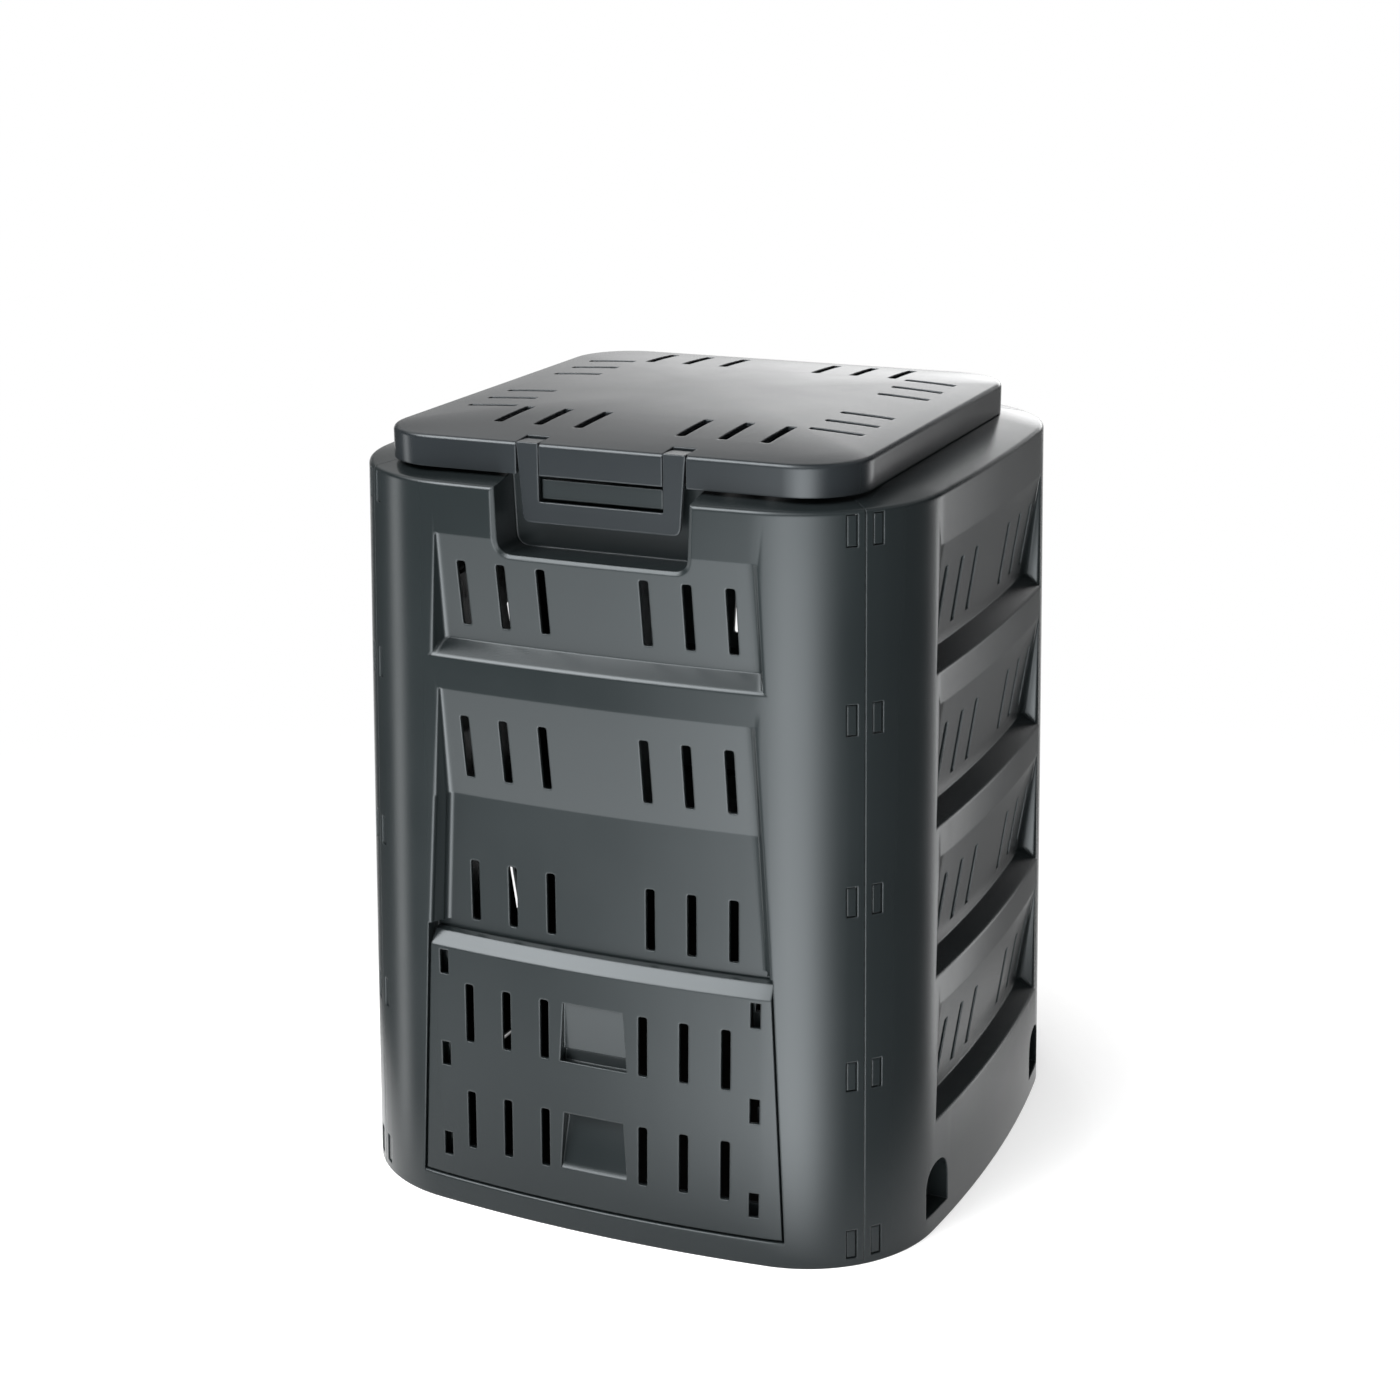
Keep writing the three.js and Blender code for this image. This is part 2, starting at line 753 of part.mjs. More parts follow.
function latchChannels() {
  const half = latchStrapWidth / 2 + channelClearance;
  const y = [-lidFront - overCut, -lidFront + channelLength];
  const cuts = sides.map((side) => {
    const centre = side * latchStrapCentre;
    return block([centre - half, centre + half], y, [lidSkirtFoot - overCut, lidTop]);
  });
  return joined(cuts);
}

// Ears under the lid's top, each side of a channel, that carry the latch pins.
function latchEars() {
  const inner = latchStrapWidth / 2 + channelClearance;
  const z = [latchPivotHeight - latchEarDrop, lidEdgeHeight - lidThickness / 2];
  const y = [-lidFront + lidThickness / 2, latchPivotY + latchEarDrop];
  const ears = sides.flatMap((side) =>
    sides.map((edge) => {
      const start = side * latchStrapCentre + edge * inner;
      return block([start, start + edge * latchEarWidth].sort((a, b) => a - b), y, z);
    }),
  );
  return joined(ears);
}

function lidKnuckles() {
  const half = hingeKnuckleWidth / 2;
  const knuckles = sides.map((side) => {
    const x = [side * hingeColumn - half, side * hingeColumn + half];
    const z = [hingeHeight - hingeBarrelRadius + sideGap, hingeHeight + hingeBarrelRadius];
    const arm = block(x, [lidBack - lidThickness / 2, hingeSetBack], z);
    const radius = hingeBarrelRadius - sideGap;
    return arm.add(rod(radius, hingeKnuckleWidth, side * hingeColumn, hingeSetBack, hingeHeight));
  });
  return joined(knuckles);
}

function latchPinBore() {
  const length = latchTopWidth + 2 * latchEarWidth + 2 * channelClearance + 2 * overCut;
  return rod(latchPinRadius + turnGap, length, 0, latchPivotY, latchPivotHeight);
}

function lid() {
  const hollow = lidShape(lidThickness, lidSkirtFoot - overCut);
  const shell = lidShape(0, lidSkirtFoot).subtract(hollow).add(latchEars()).add(lidKnuckles());
  const hingeBore = rod(hingePinRadius + turnGap, lidWidth, 0, hingeSetBack, hingeHeight);
  return shell
    .subtract(lidSlots())
    .subtract(latchChannels())
    .subtract(latchPinBore())
    .subtract(hingeBore);
}

// Latch

function latchFrame() {
  const [topHalf, footHalf] = [latchTopWidth / 2, latchFootWidth / 2];
  const frame = trapezium(topHalf, footHalf, latchFoot, lidEdgeHeight, latchCornerRounding);
  const face = -lidFront;
  const body = extrudedAlongY(frame, [face, face + latchThickness]);
  const inner = trapezium(
    latchWindowWidth / 2,
    latchWindowWidth / 2,
    latchFoot + latchBarHeight,
    lidEdgeHeight + overCut,
    latchWindowRounding,
  );
  return body.subtract(extrudedAlongY(inner, [face - overCut, face + latchThickness + overCut]));
}

function latchTabs() {
  const half = latchStrapWidth / 2;
  const tabs = sides.map((side) => {
    const centre = side * latchStrapCentre;
    const z = [latchPivotHeight + latchPinRadius, lidEdgeHeight];
    const tab = block([centre - half, centre + half], [-lidFront, latchPivotY + latchTabOverrun], z);
    return tab.add(rod(latchBarrelRadius, latchStrapWidth, centre, latchPivotY, latchPivotHeight));
  });
  return joined(tabs);
}

function latch() {
  const bore = rod(latchPinRadius + turnGap, lidWidth, 0, latchPivotY, latchPivotHeight);
  return latchFrame().add(latchTabs()).subtract(bore);
}

// Corner clip of the right-hand front seam

// A point of the corner, so far along the flat facet on one side of the seam and so deep behind the face.
function besideSeam(along, inset, z) {
  const top = rimHeight - rimRounding;
  const seam = columnsAcross.length - 1 + cornerSteps / 2;
  const pointAt = (i) => {
    const [low, high] = [bodyOutline(inset, 0)[i], bodyOutline(inset, top)[i]];
    return new THREE.Vector3(...low).lerp(new THREE.Vector3(...high), z / top);
  };
  const start = pointAt(seam);
  const direction = pointAt(seam + (Math.sign(along) || 1)).sub(start).normalize();
  return start.addScaledVector(direction, Math.abs(along)).toArray();
}

// A bar of the clip on one side of the seam, between two places along it, two depths and two heights.
function clipBar(along, insets, z) {
  const outline = (height) => [
    besideSeam(along[0], insets[0], height),
    besideSeam(along[1], insets[0], height),
    besideSeam(along[1], insets[1], height),
    besideSeam(along[0], insets[1], height),
  ];
  return loft(z.map(outline));
}

function cornerClip(level) {
  const outside = wallThickness + turnGap;
  const middle = outside + clipPlateThickness / 2;
  const plateHalf = clipPlateHeight / 2;
  const prongHalf = clipWindowHeight / 2 - clipPlay;
  const bars = sides.flatMap((side) => {
    const plate = [0, side * clipPlateHalfWidth].sort((a, b) => a - b);
    const prong = sides.map((edge) => side * clipWindowOffset + edge * (clipWindowWidth / 2 - clipPlay));
    return [
      clipBar(plate, [outside, outside + clipPlateThickness], [level - plateHalf, level + plateHalf]),
      clipBar(prong, [clipFaceSetBack, middle], [level - prongHalf, level + prongHalf]),
    ];
  });
  return joined(bars);
}

// Assembly

function piece(name, geometry, material) {
  const mesh = new THREE.Mesh(geometry, material);
  mesh.name = name;
  return mesh;
}

const group = new THREE.Group();
const sideGeometry = geometryOf(sideWall());
const walls = [
  ["front_wall", geometryOf(frontWall())],
  ["right_wall", sideGeometry],
  ["rear_wall", geometryOf(rearWall())],
  ["left_wall", sideGeometry],
];
walls.forEach(([name, geometry], turn) => {
  const wall = piece(name, geometry, plastic);
  wall.rotation.z = turn * quarterTurn;
  group.add(wall);
});

const seams = ["front_right", "rear_right", "rear_left", "front_left"];
clipLevels.forEach((level, row) => {
  const geometry = geometryOf(cornerClip(level));
  seams.forEach((seam, turn) => {
    const clip = piece(`corner_clip_${seam}_${row + 1}`, geometry, plastic);
    clip.rotation.z = turn * quarterTurn;
    group.add(clip);
  });
});

group.add(piece("emptying_door", geometryOf(door()), plastic));
group.add(piece("lid", geometryOf(lid()), plastic));
group.add(piece("lid_latch", geometryOf(latch()), plastic));

function pin(name, radius, length, place) {
  const geometry = new THREE.CylinderGeometry(radius, radius, length, roundSteps);
  const mesh = piece(name, geometry, steel);
  mesh.rotation.z = quarterTurn;
  mesh.position.set(...place);
  group.add(mesh);
}

const hingePinLength = hingeKnuckleWidth + 2 * (sideGap + hingeEarWidth + hingePinHead);
const latchPinLength = latchStrapWidth + 2 * (channelClearance + latchEarWidth - sideGap);
const pinSides = { left: -1, right: 1 };
Object.entries(pinSides).forEach(([name, side]) => {
  const hingePlace = [side * hingeColumn, hingeSetBack, hingeHeight];
  const latchPlace = [side * latchStrapCentre, latchPivotY, latchPivotHeight];
  pin(`hinge_pin_${name}`, hingePinRadius, hingePinLength, hingePlace);
  pin(`latch_pin_${name}`, latchPinRadius, latchPinLength, latchPlace);
});

export default group;
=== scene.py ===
"""A garden compost bin of moulded polypropylene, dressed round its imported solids, on a pale studio stage."""

import math

import bmesh
import bpy
from mathutils import Matrix, Vector


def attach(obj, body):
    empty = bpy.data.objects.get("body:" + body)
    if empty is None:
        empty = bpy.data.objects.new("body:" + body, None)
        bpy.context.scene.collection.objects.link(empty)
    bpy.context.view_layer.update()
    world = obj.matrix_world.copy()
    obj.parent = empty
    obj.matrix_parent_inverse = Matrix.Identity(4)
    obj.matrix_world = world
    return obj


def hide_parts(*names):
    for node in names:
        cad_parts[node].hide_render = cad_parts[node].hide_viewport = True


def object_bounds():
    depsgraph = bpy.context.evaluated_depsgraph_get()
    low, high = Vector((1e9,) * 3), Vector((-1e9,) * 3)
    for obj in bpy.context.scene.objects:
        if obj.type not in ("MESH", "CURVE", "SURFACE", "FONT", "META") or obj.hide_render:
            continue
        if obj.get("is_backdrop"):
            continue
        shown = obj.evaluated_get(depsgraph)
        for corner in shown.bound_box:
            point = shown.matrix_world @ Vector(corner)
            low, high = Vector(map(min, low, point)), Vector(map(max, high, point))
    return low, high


bl_info = {
    "name": "Compost Bin Builder",
    "version": (1, 0, 0),
    "blender": (4, 5, 0),
    "location": "3D View > Sidebar > Compost Bin",
    "description": "Builds the moulded panels, lid, latch, door and stage of a garden compost bin",
    "category": "Add Mesh",
}

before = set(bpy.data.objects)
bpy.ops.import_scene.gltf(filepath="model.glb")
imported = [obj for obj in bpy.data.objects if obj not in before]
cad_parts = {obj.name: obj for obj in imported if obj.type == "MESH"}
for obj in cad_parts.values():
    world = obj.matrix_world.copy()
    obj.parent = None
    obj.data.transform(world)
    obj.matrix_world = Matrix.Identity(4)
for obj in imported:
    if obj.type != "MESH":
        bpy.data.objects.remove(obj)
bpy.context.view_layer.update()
MM = 0.001
QUARTER = math.pi / 2
SIDES = (-1, 1)

# Columns across a wall, in millimetres from its middle, that clear the slots
COLUMNS = (
    12, 24, 36, 47, 64, 74, 83, 91.5, 108, 116, 126, 135.5,
    152.5, 160, 166, 172, 178, 184, 190, 196, 202, 208,
)
# Rings of the walls between foot and rim, as shares of the rim's height
RING_SHARES = (0.25, 0.5, 0.75)
CORNER_STEPS = 24
EDGE_STEPS = 6
CURVE_STEPS = 8
ROUND_STEPS = 40
SLOT_STEPS = 3

# Rim and mouth
RIM_ROUNDING = 5
SHOULDER_RUN = 46
SHOULDER_RISE = 8
FOOT_FLANGE = 20
MOUTH_WIDTH = 456
MOUTH_CORNER = 60
MOUTH_LIP = 22
SEAM_GAP = 0.5
OVERCUT = 3
TOUCH = 0.02

# Louvre recesses and the front wall's flat panel
RECESS_TOP = 727.6
RECESS_PITCH = 159.5
RECESS_HEIGHT = 126.2
RECESS_DEPTH = 19
LEDGE_DROP = 15
RECESS_TOP_WIDTH = 341
RECESS_FOOT_WIDTH = 358
FLANK_DRAFT = 0.6
FLANK_FILLET = 7
FLANK_ROUNDING = 5
LEDGE_BEAD = 3
SIDE_RECESSES = 4
PANEL_KINK = 116
PANEL_DEPTH = 21

# Slots
SLOT_WIDTH = 10
SLOT_ROUNDING = 2.5
SLOT_COLUMNS = [side * (55.3 + step * 44.4) for step in range(3) for side in SIDES]
RECESS_SLOT_LENGTH = 68
RECESS_SLOT_DROP = 26.8
PANEL_SLOT_TOP = 382
PANEL_SLOT_LENGTH = 66

# Door and its rebate
REBATE_FOOT = 27
REBATE_TOP = 312
REBATE_DEPTH = 21
REBATE_TOP_WIDTH = 384
REBATE_FOOT_WIDTH = 414
SILL_BEAD = 2.5
DOOR_INSETS = {"side": 3, "foot": 2.5, "top": 7.5}
DOOR_TOP_SLOPE = 6
DOOR_LIP = (10.5, 13.5)
DOOR_SKIN = 4
DOOR_FLANGE = 17
DOOR_SET_BACK = 1.5
OPENING_MARGIN = 30
DOOR_LIFT = 7
DOOR_SLOT_LENGTH = 65
DOOR_SLOT_TOPS = (252.3, 131.3)
GRIP_TOP_WIDTH = 67
GRIP_FOOT_WIDTH = 75
GRIP_HEIGHT = 63
GRIP_DEPTH = 15
GRIP_FLOOR = 4
GRIP_LIP = (4.5, 6)
GRIP_UNDERCUT = 5
HOOK_TOPS = (285, 181.8, 78.4)
HOOK_WINDOW = (10.5, 27)
HOOK_COLUMN = 174.5
HOOK_WIDTH = 5.5
HOOK_THICKNESS = 4
HOOK_LENGTH = 23
HOOK_GRIP = 5
HOOK_PLAY = 2

# Clip windows beside each corner seam
CLIP_LEVELS = (24, 207.8, 391.6, 575.4, 759.2)
CLIP_WINDOW = (11.4, 31.4)
CLIP_OFFSET = 13.6

# Hand notch, keeper and latch
NOTCH_WIDTH = 212
NOTCH_FOOT_WIDTH = 202
NOTCH_FLOOR = 712
NOTCH_DEPTH = 46
NOTCH_ROUNDING = 15
NOTCH_LIP = (3, 4.5)
KEEPER_CLEARANCE = 2.5
KEEPER_LEVELS = (765, 784)
LATCH_TOP_WIDTH = 179
LATCH_FOOT_WIDTH = 167
LATCH_WINDOW = 133
LATCH_FOOT = 741
LATCH_BAR = 21
LATCH_THICKNESS = 4
LATCH_CORNER = 8
LATCH_WINDOW_CORNER = 2.5
LATCH_PIVOT_SET_BACK = 17
LATCH_PIVOT_HEIGHT = 812
LATCH_BARREL = 6
LATCH_TAB_OVERRUN = 3
LATCH_PIN = 2.5
LATCH_EAR_WIDTH = 7
LATCH_EAR_DROP = 8
CHANNEL_CLEARANCE = 1
CHANNEL_LENGTH = 27

# Lid and its hinge
LID_WIDTH = 510
LID_FRONT = 285
LID_BACK = 250
LID_CORNER = 68
LID_SKIRT_FOOT = 788
LID_EDGE = 820
LID_TOP = 828
LID_ROUNDING = 5
LID_THICKNESS = 4
LID_FRONT_SLOTS = (146, 220)
LID_SIDE_SLOTS = (161.5, 217.5)
CROWN_STEPS = 10
HINGE_COLUMN = 150
HINGE_SET_BACK = 264
HINGE_HEIGHT = 796
HINGE_BARREL = 7
HINGE_KNUCKLE = 24
HINGE_EAR = 6
HINGE_PIN = 3
HINGE_PIN_HEAD = 1.5
PIN_CHAMFER = 0.5
TURN_GAP = 0.3
SIDE_GAP = 0.5

# Ground-peg openings
PEG_COLUMN = 177
PEG_WIDTH = 52
PEG_TOP = 76
PEG_FOOT = 20
PEG_SPRING = 48
PEG_DEPTH = 20
PEG_HOLE_HEIGHT = 16

# Shading by the turn between two faces, in degrees: they merge below the first, a level crease is sharp
# past the second and every edge past the third
FLAT_TURN = 0.05
CREASE_TURN = 6
SHARP_TURN = 28
# How far the faces beside a level crease may point up, and how far it may rise, in millimetres
UPRIGHT_LIMIT = 0.5
CREASE_RISE = 1

# Mouldings: shades of the flow clouds, gain and offset of the edges lightened as scuffs and painted highlight,
# spread of roughness, sheen's tint
FLOW_SHADES = (0.86, 1.14)
WEAR_AND_HIGHLIGHT_GAIN = 1.9
WEAR_AND_HIGHLIGHT_OFFSET = 0.01
GLOSS_SPREAD = 0.035
SHEEN_TINT = "#f3fafe"

# Floor: colours of the paint and of the painted shade under the bin, drop below the foot, glow, distances
# between which it runs out, and the soft edge of the painted shade
FLOOR_COLOUR = "#c8c8c8"
SHADE_PATCH_COLOUR = "#1d1c1b"
FLOOR_DROP = 0.5
FLOOR_GLOW = 0.55
FLOOR_REACH = (400, 650)
SHADE_PATCH_POWER = 6.0
SHADE_PATCH_EDGE_SHARES = (0.62, 0.7)

# Camera: target in millimetres, sensor width in millimetres, clipping distances in metres
CAMERA_TARGET = (-25.2, 10.5, 479.4)
SENSOR_WIDTH = 36
CLIPPING = (0.05, 50)

# Brightness of the studio walls by direction round the bin, in degrees from the front towards the right
BRIGHTEST = 17.0
LOW_LIGHTS = (
    (-180, 1.0), (-138, 1.0), (-130, 0.05), (-90, 0.05), (-82, 3.4), (-77, 3.4), (-71, 0.1), (-45, 0.2),
    (-24, 0.1), (-11, 4.2), (8, 9.5), (24, 8.0), (40, 2.2), (52, 0.2), (128, 0.1), (141, 1.0), (148, 5.0),
    (152, 2.0), (158, 0.3), (180, 0.2),
)
HIGH_LIGHTS = (
    (-180, 4.2), (-172, 4.8), (-165, 4.0), (-160, 2.8), (-152, 0.8), (-143, 0.1), (-60, 0.1), (-20, 0.1),
    (0, 1.6), (20, 2.6), (45, 1.2), (65, 0.3), (110, 0.2), (150, 0.3), (168, 0.6), (180, 4.4),
)
TOP_LIGHTS = (
    (-180, 0.5), (-100, 0.9), (-75, 5.0), (-60, 17.0), (-25, 17.0), (-5, 5.0), (40, 0.6), (180, 0.5),
)
GROUND_LIGHTS = (
    (-180, 0.3), (-62, 0.4), (-44, 5.2), (0, 5.8), (18, 7.4), (45, 1.4), (75, 0.2), (180, 0.1),
)
BACK_LIGHTS = (
    (-180, 0.0), (-172, 0.05), (-160, 0.3), (-150, 0.7), (-125, 0.7), (-105, 0.0), (180, 0.0),
)
# Heights in degrees over which the low lights give way to the high ones, and how each group fades
HORIZON = (1, 5)
HIGH_FADE_SHARES = (
    (-90, 1.0), (4, 1.0), (9, 0.95), (12, 0.7), (15, 0.25), (18, 0.06), (22, 0.04), (30, 0.03), (90, 0.03),
)
TOP_FADE_SHARES = ((-90, 0.0), (27, 0.0), (35, 1.0), (60, 1.0), (68, 0.2), (90, 0.05))
GROUND_FADE_SHARES = ((-90, 1.0), (-36, 1.0), (-18, 0.0), (90, 0.0))
BACK_FADE_SHARES = ((-90, 0.0), (13, 0.0), (19, 0.95), (24, 1.0), (45, 1.0), (60, 0.0), (90, 0.0))

class BinShape(bpy.types.PropertyGroup):
    """Sizes of the tapered body that the panels are moulded to."""

    base_width: bpy.props.FloatProperty(
        name="Base Width", description="Width across the foot of two walls", default=0.665, unit="LENGTH"
    )
    rim_width: bpy.props.FloatProperty(
        name="Rim Width", description="Width across the rim of two walls", default=0.623, unit="LENGTH"
    )
    rim_height: bpy.props.FloatProperty(
        name="Rim Height", description="Height of the rim above the ground", default=0.779, unit="LENGTH"
    )
    base_side_radius: bpy.props.FloatProperty(
        name="Foot Bow Radius", description="Radius of a wall's bow at the foot", default=1.64, unit="LENGTH"
    )
    rim_side_radius: bpy.props.FloatProperty(
        name="Rim Bow Radius", description="Radius of a wall's bow at the rim", default=3.28, unit="LENGTH"
    )
    corner_radius: bpy.props.FloatProperty(
        name="Corner Radius", description="Radius of the four rounded corners", default=0.151, unit="LENGTH"
    )
    wall_thickness: bpy.props.FloatProperty(
        name="Wall Thickness", description="Thickness of the moulded panels", default=0.004, unit="LENGTH"
    )
    edge_radius: bpy.props.FloatProperty(
        name="Edge Radius", description="Radius of the moulded outer edges", default=0.0024, unit="LENGTH"
    )


class BinFinish(bpy.types.PropertyGroup):
    """Colours and gloss of the mouldings and pins."""

    body_colour: bpy.props.StringProperty(
        name="Panel Colour", description="sRGB colour of the wall panels, as a hex value", default="#161a1b"
    )
    lid_colour: bpy.props.StringProperty(
        name="Lid Colour", description="sRGB colour of the lid and latch, as a hex value", default="#191c1e"
    )
    pin_colour: bpy.props.StringProperty(
        name="Pin Colour", description="sRGB colour of the steel pins, as a hex value", default="#9a9c9d"
    )
    body_roughness: bpy.props.FloatProperty(
        name="Panel Roughness", description="Roughness of the satin panels", default=0.235, min=0, max=1
    )
    lid_roughness: bpy.props.FloatProperty(
        name="Lid Roughness", description="Roughness of the lid's smoother face", default=0.22, min=0, max=1
    )


class StudioSettings(bpy.types.PropertyGroup):
    """The camera and lights of the product view."""

    azimuth: bpy.props.FloatProperty(
        name="Azimuth", description="Direction of the camera round the bin",
        default=math.radians(23.53), subtype="ANGLE",
    )
    elevation: bpy.props.FloatProperty(
        name="Elevation", description="Height of the camera's line of sight",
        default=math.radians(17.38), subtype="ANGLE",
    )
    roll: bpy.props.FloatProperty(
        name="Roll", description="Tilt of the camera about its line of sight",
        default=math.radians(-0.34), subtype="ANGLE",
    )
    distance: bpy.props.FloatProperty(
        name="Distance", description="Distance from the camera to its target", default=2.7581, unit="LENGTH"
    )
    lens: bpy.props.FloatProperty(
        name="Focal Length", description="Focal length in millimetres on a 36 mm sensor", default=64.19
    )
    wall_strength: bpy.props.FloatProperty(
        name="Wall Strength", description="Brightness of the studio walls", default=1.0, min=0
    )


# Mesh helpers

def mesh_object(vertices, faces, name="solid"):
    """A mesh object from points in millimetres."""
    mesh = bpy.data.meshes.new(name)
    mesh.from_pydata([[c * MM for c in v] for v in vertices], [], faces)
    mesh.update()
    made = bpy.data.objects.new(name, mesh)
    bpy.context.scene.collection.objects.link(made)
    return made


def loft(outlines):
    """A closed solid through outlines with the same number of points, stacked along their normal."""
    count = len(outlines[0])
    faces = []
    for level in range(len(outlines) - 1):
        for i in range(count):
            a, b = level * count + i, level * count + (i + 1) % count
            faces.append((a, b, b + count, a + count))
    last = (len(outlines) - 1) * count
    faces.append(tuple(reversed(range(count))))
    faces.append(tuple(range(last, last + count)))
    return mesh_object([point for outline in outlines for point in outline], faces)


def about(centre, half):
    """The pair of coordinates at half a width to both sides of a centre."""
    return centre - half, centre + half


def block(x, y, z):
    """A box between pairs of coordinates."""
    def level(height):
        return [(x[0], y[0], height), (x[1], y[0], height), (x[1], y[1], height), (x[0], y[1], height)]

    return loft([level(z[0]), level(z[1])])


def rod(radius, length, x, y, z, chamfer=0):
    """A rod along X, centred on x, with its ends chamfered."""
    def ring(at, r):
        turns = [QUARTER * 4 * i / ROUND_STEPS for i in range(ROUND_STEPS)]
        return [(at, y + r * math.cos(turn), z + r * math.sin(turn)) for turn in turns]

    low, high = x - length / 2, x + length / 2
    if not chamfer:
        return loft([ring(low, radius), ring(high, radius)])
    rings = [ring(low, radius - chamfer), ring(low + chamfer, radius)]
    return loft(rings + [ring(high - chamfer, radius), ring(high, radius - chamfer)])


def pushed(outline, y):
    """An outline in X and Z, counterclockwise as seen from the front, pushed from one Y to another."""
    return loft([[(x, at, z) for x, z in outline] for at in (y[1], y[0])])


def bend(start, control, end, steps=CURVE_STEPS):
    """Points of a quadratic curve after its start, its end among them."""
    points = []
    for i in range(1, steps + 1):
        t = i / steps
        points.append(
            tuple((1 - t) ** 2 * s + 2 * t * (1 - t) * c + t * t * e for s, c, e in zip(start, control, end))
        )
    return points


def trapezium(top_half, foot_half, foot, top, rounding):
    """A trapezium in X and Z with its foot corners rounded, counterclockwise as seen from the front."""
    flank = (foot_half - top_half) / (top - foot)
    right = (foot_half - flank * rounding, foot + rounding)
    left = (-foot_half + flank * rounding, foot + rounding)
    points = [(-top_half, top), left]
    points += bend(left, (-foot_half, foot), (-foot_half + rounding, foot))
    points.append((foot_half - rounding, foot))
    points += bend((foot_half - rounding, foot), (foot_half, foot), right)
    points.append((top_half, top))
    return points


def rounded_slot(centre, top, length):
    """Outline of an upright slot with rounded corners."""
    half, r = SLOT_WIDTH / 2, SLOT_ROUNDING
    low, high = top - length, top
    points = []
    corners = [(-1, low, -QUARTER * 2), (1, low, -QUARTER), (1, high, 0), (-1, high, QUARTER)]
    for side, level, start in corners:
        cx = centre + side * (half - r)
        cz = level + (r if level == low else -r)
        for i in range(SLOT_STEPS + 1):
            turn = start + QUARTER * i / SLOT_STEPS
            points.append((cx + r * math.cos(turn), cz + r * math.sin(turn)))
    return points


def merged(solids):
    """Separate solids that stay clear of each other, as one object."""
    vertices, faces = [], []
    for solid in solids:
        first = len(vertices)
        vertices += [[c / MM for c in v.co] for v in solid.data.vertices]
        faces += [[first + i for i in face.vertices] for face in solid.data.polygons]
        discard(solid)
    return mesh_object(vertices, faces)


def discard(solid):
    """Removes a construction solid and its mesh."""
    mesh = solid.data
    bpy.data.objects.remove(solid)
    bpy.data.meshes.remove(mesh)


def copied(solid):
    """A second object with its own copy of the mesh."""
    twin = solid.copy()
    twin.data = solid.data.copy()
    bpy.context.scene.collection.objects.link(twin)
    return twin


def combined(base, operation, *others):
    """The base cut by, joined to or kept within the others, which are used up."""
    for other in others:
        step = base.modifiers.new(operation, "BOOLEAN")
        step.operation = operation
        step.solver = "MANIFOLD"
        step.object = other
    graph = bpy.context.evaluated_depsgraph_get()
    mesh = bpy.data.meshes.new_from_object(base.evaluated_get(graph))
    old = base.data
    base.modifiers.clear()
    base.data = mesh
    bpy.data.meshes.remove(old)
    for other in others:
        discard(other)
    return base


def cut(base, *others):
    return combined(base, "DIFFERENCE", *others)


def join(base, *others):
    return combined(base, "UNION", *others)


def within(base, *others):
    return combined(base, "INTERSECT", *others)


# The tapered body

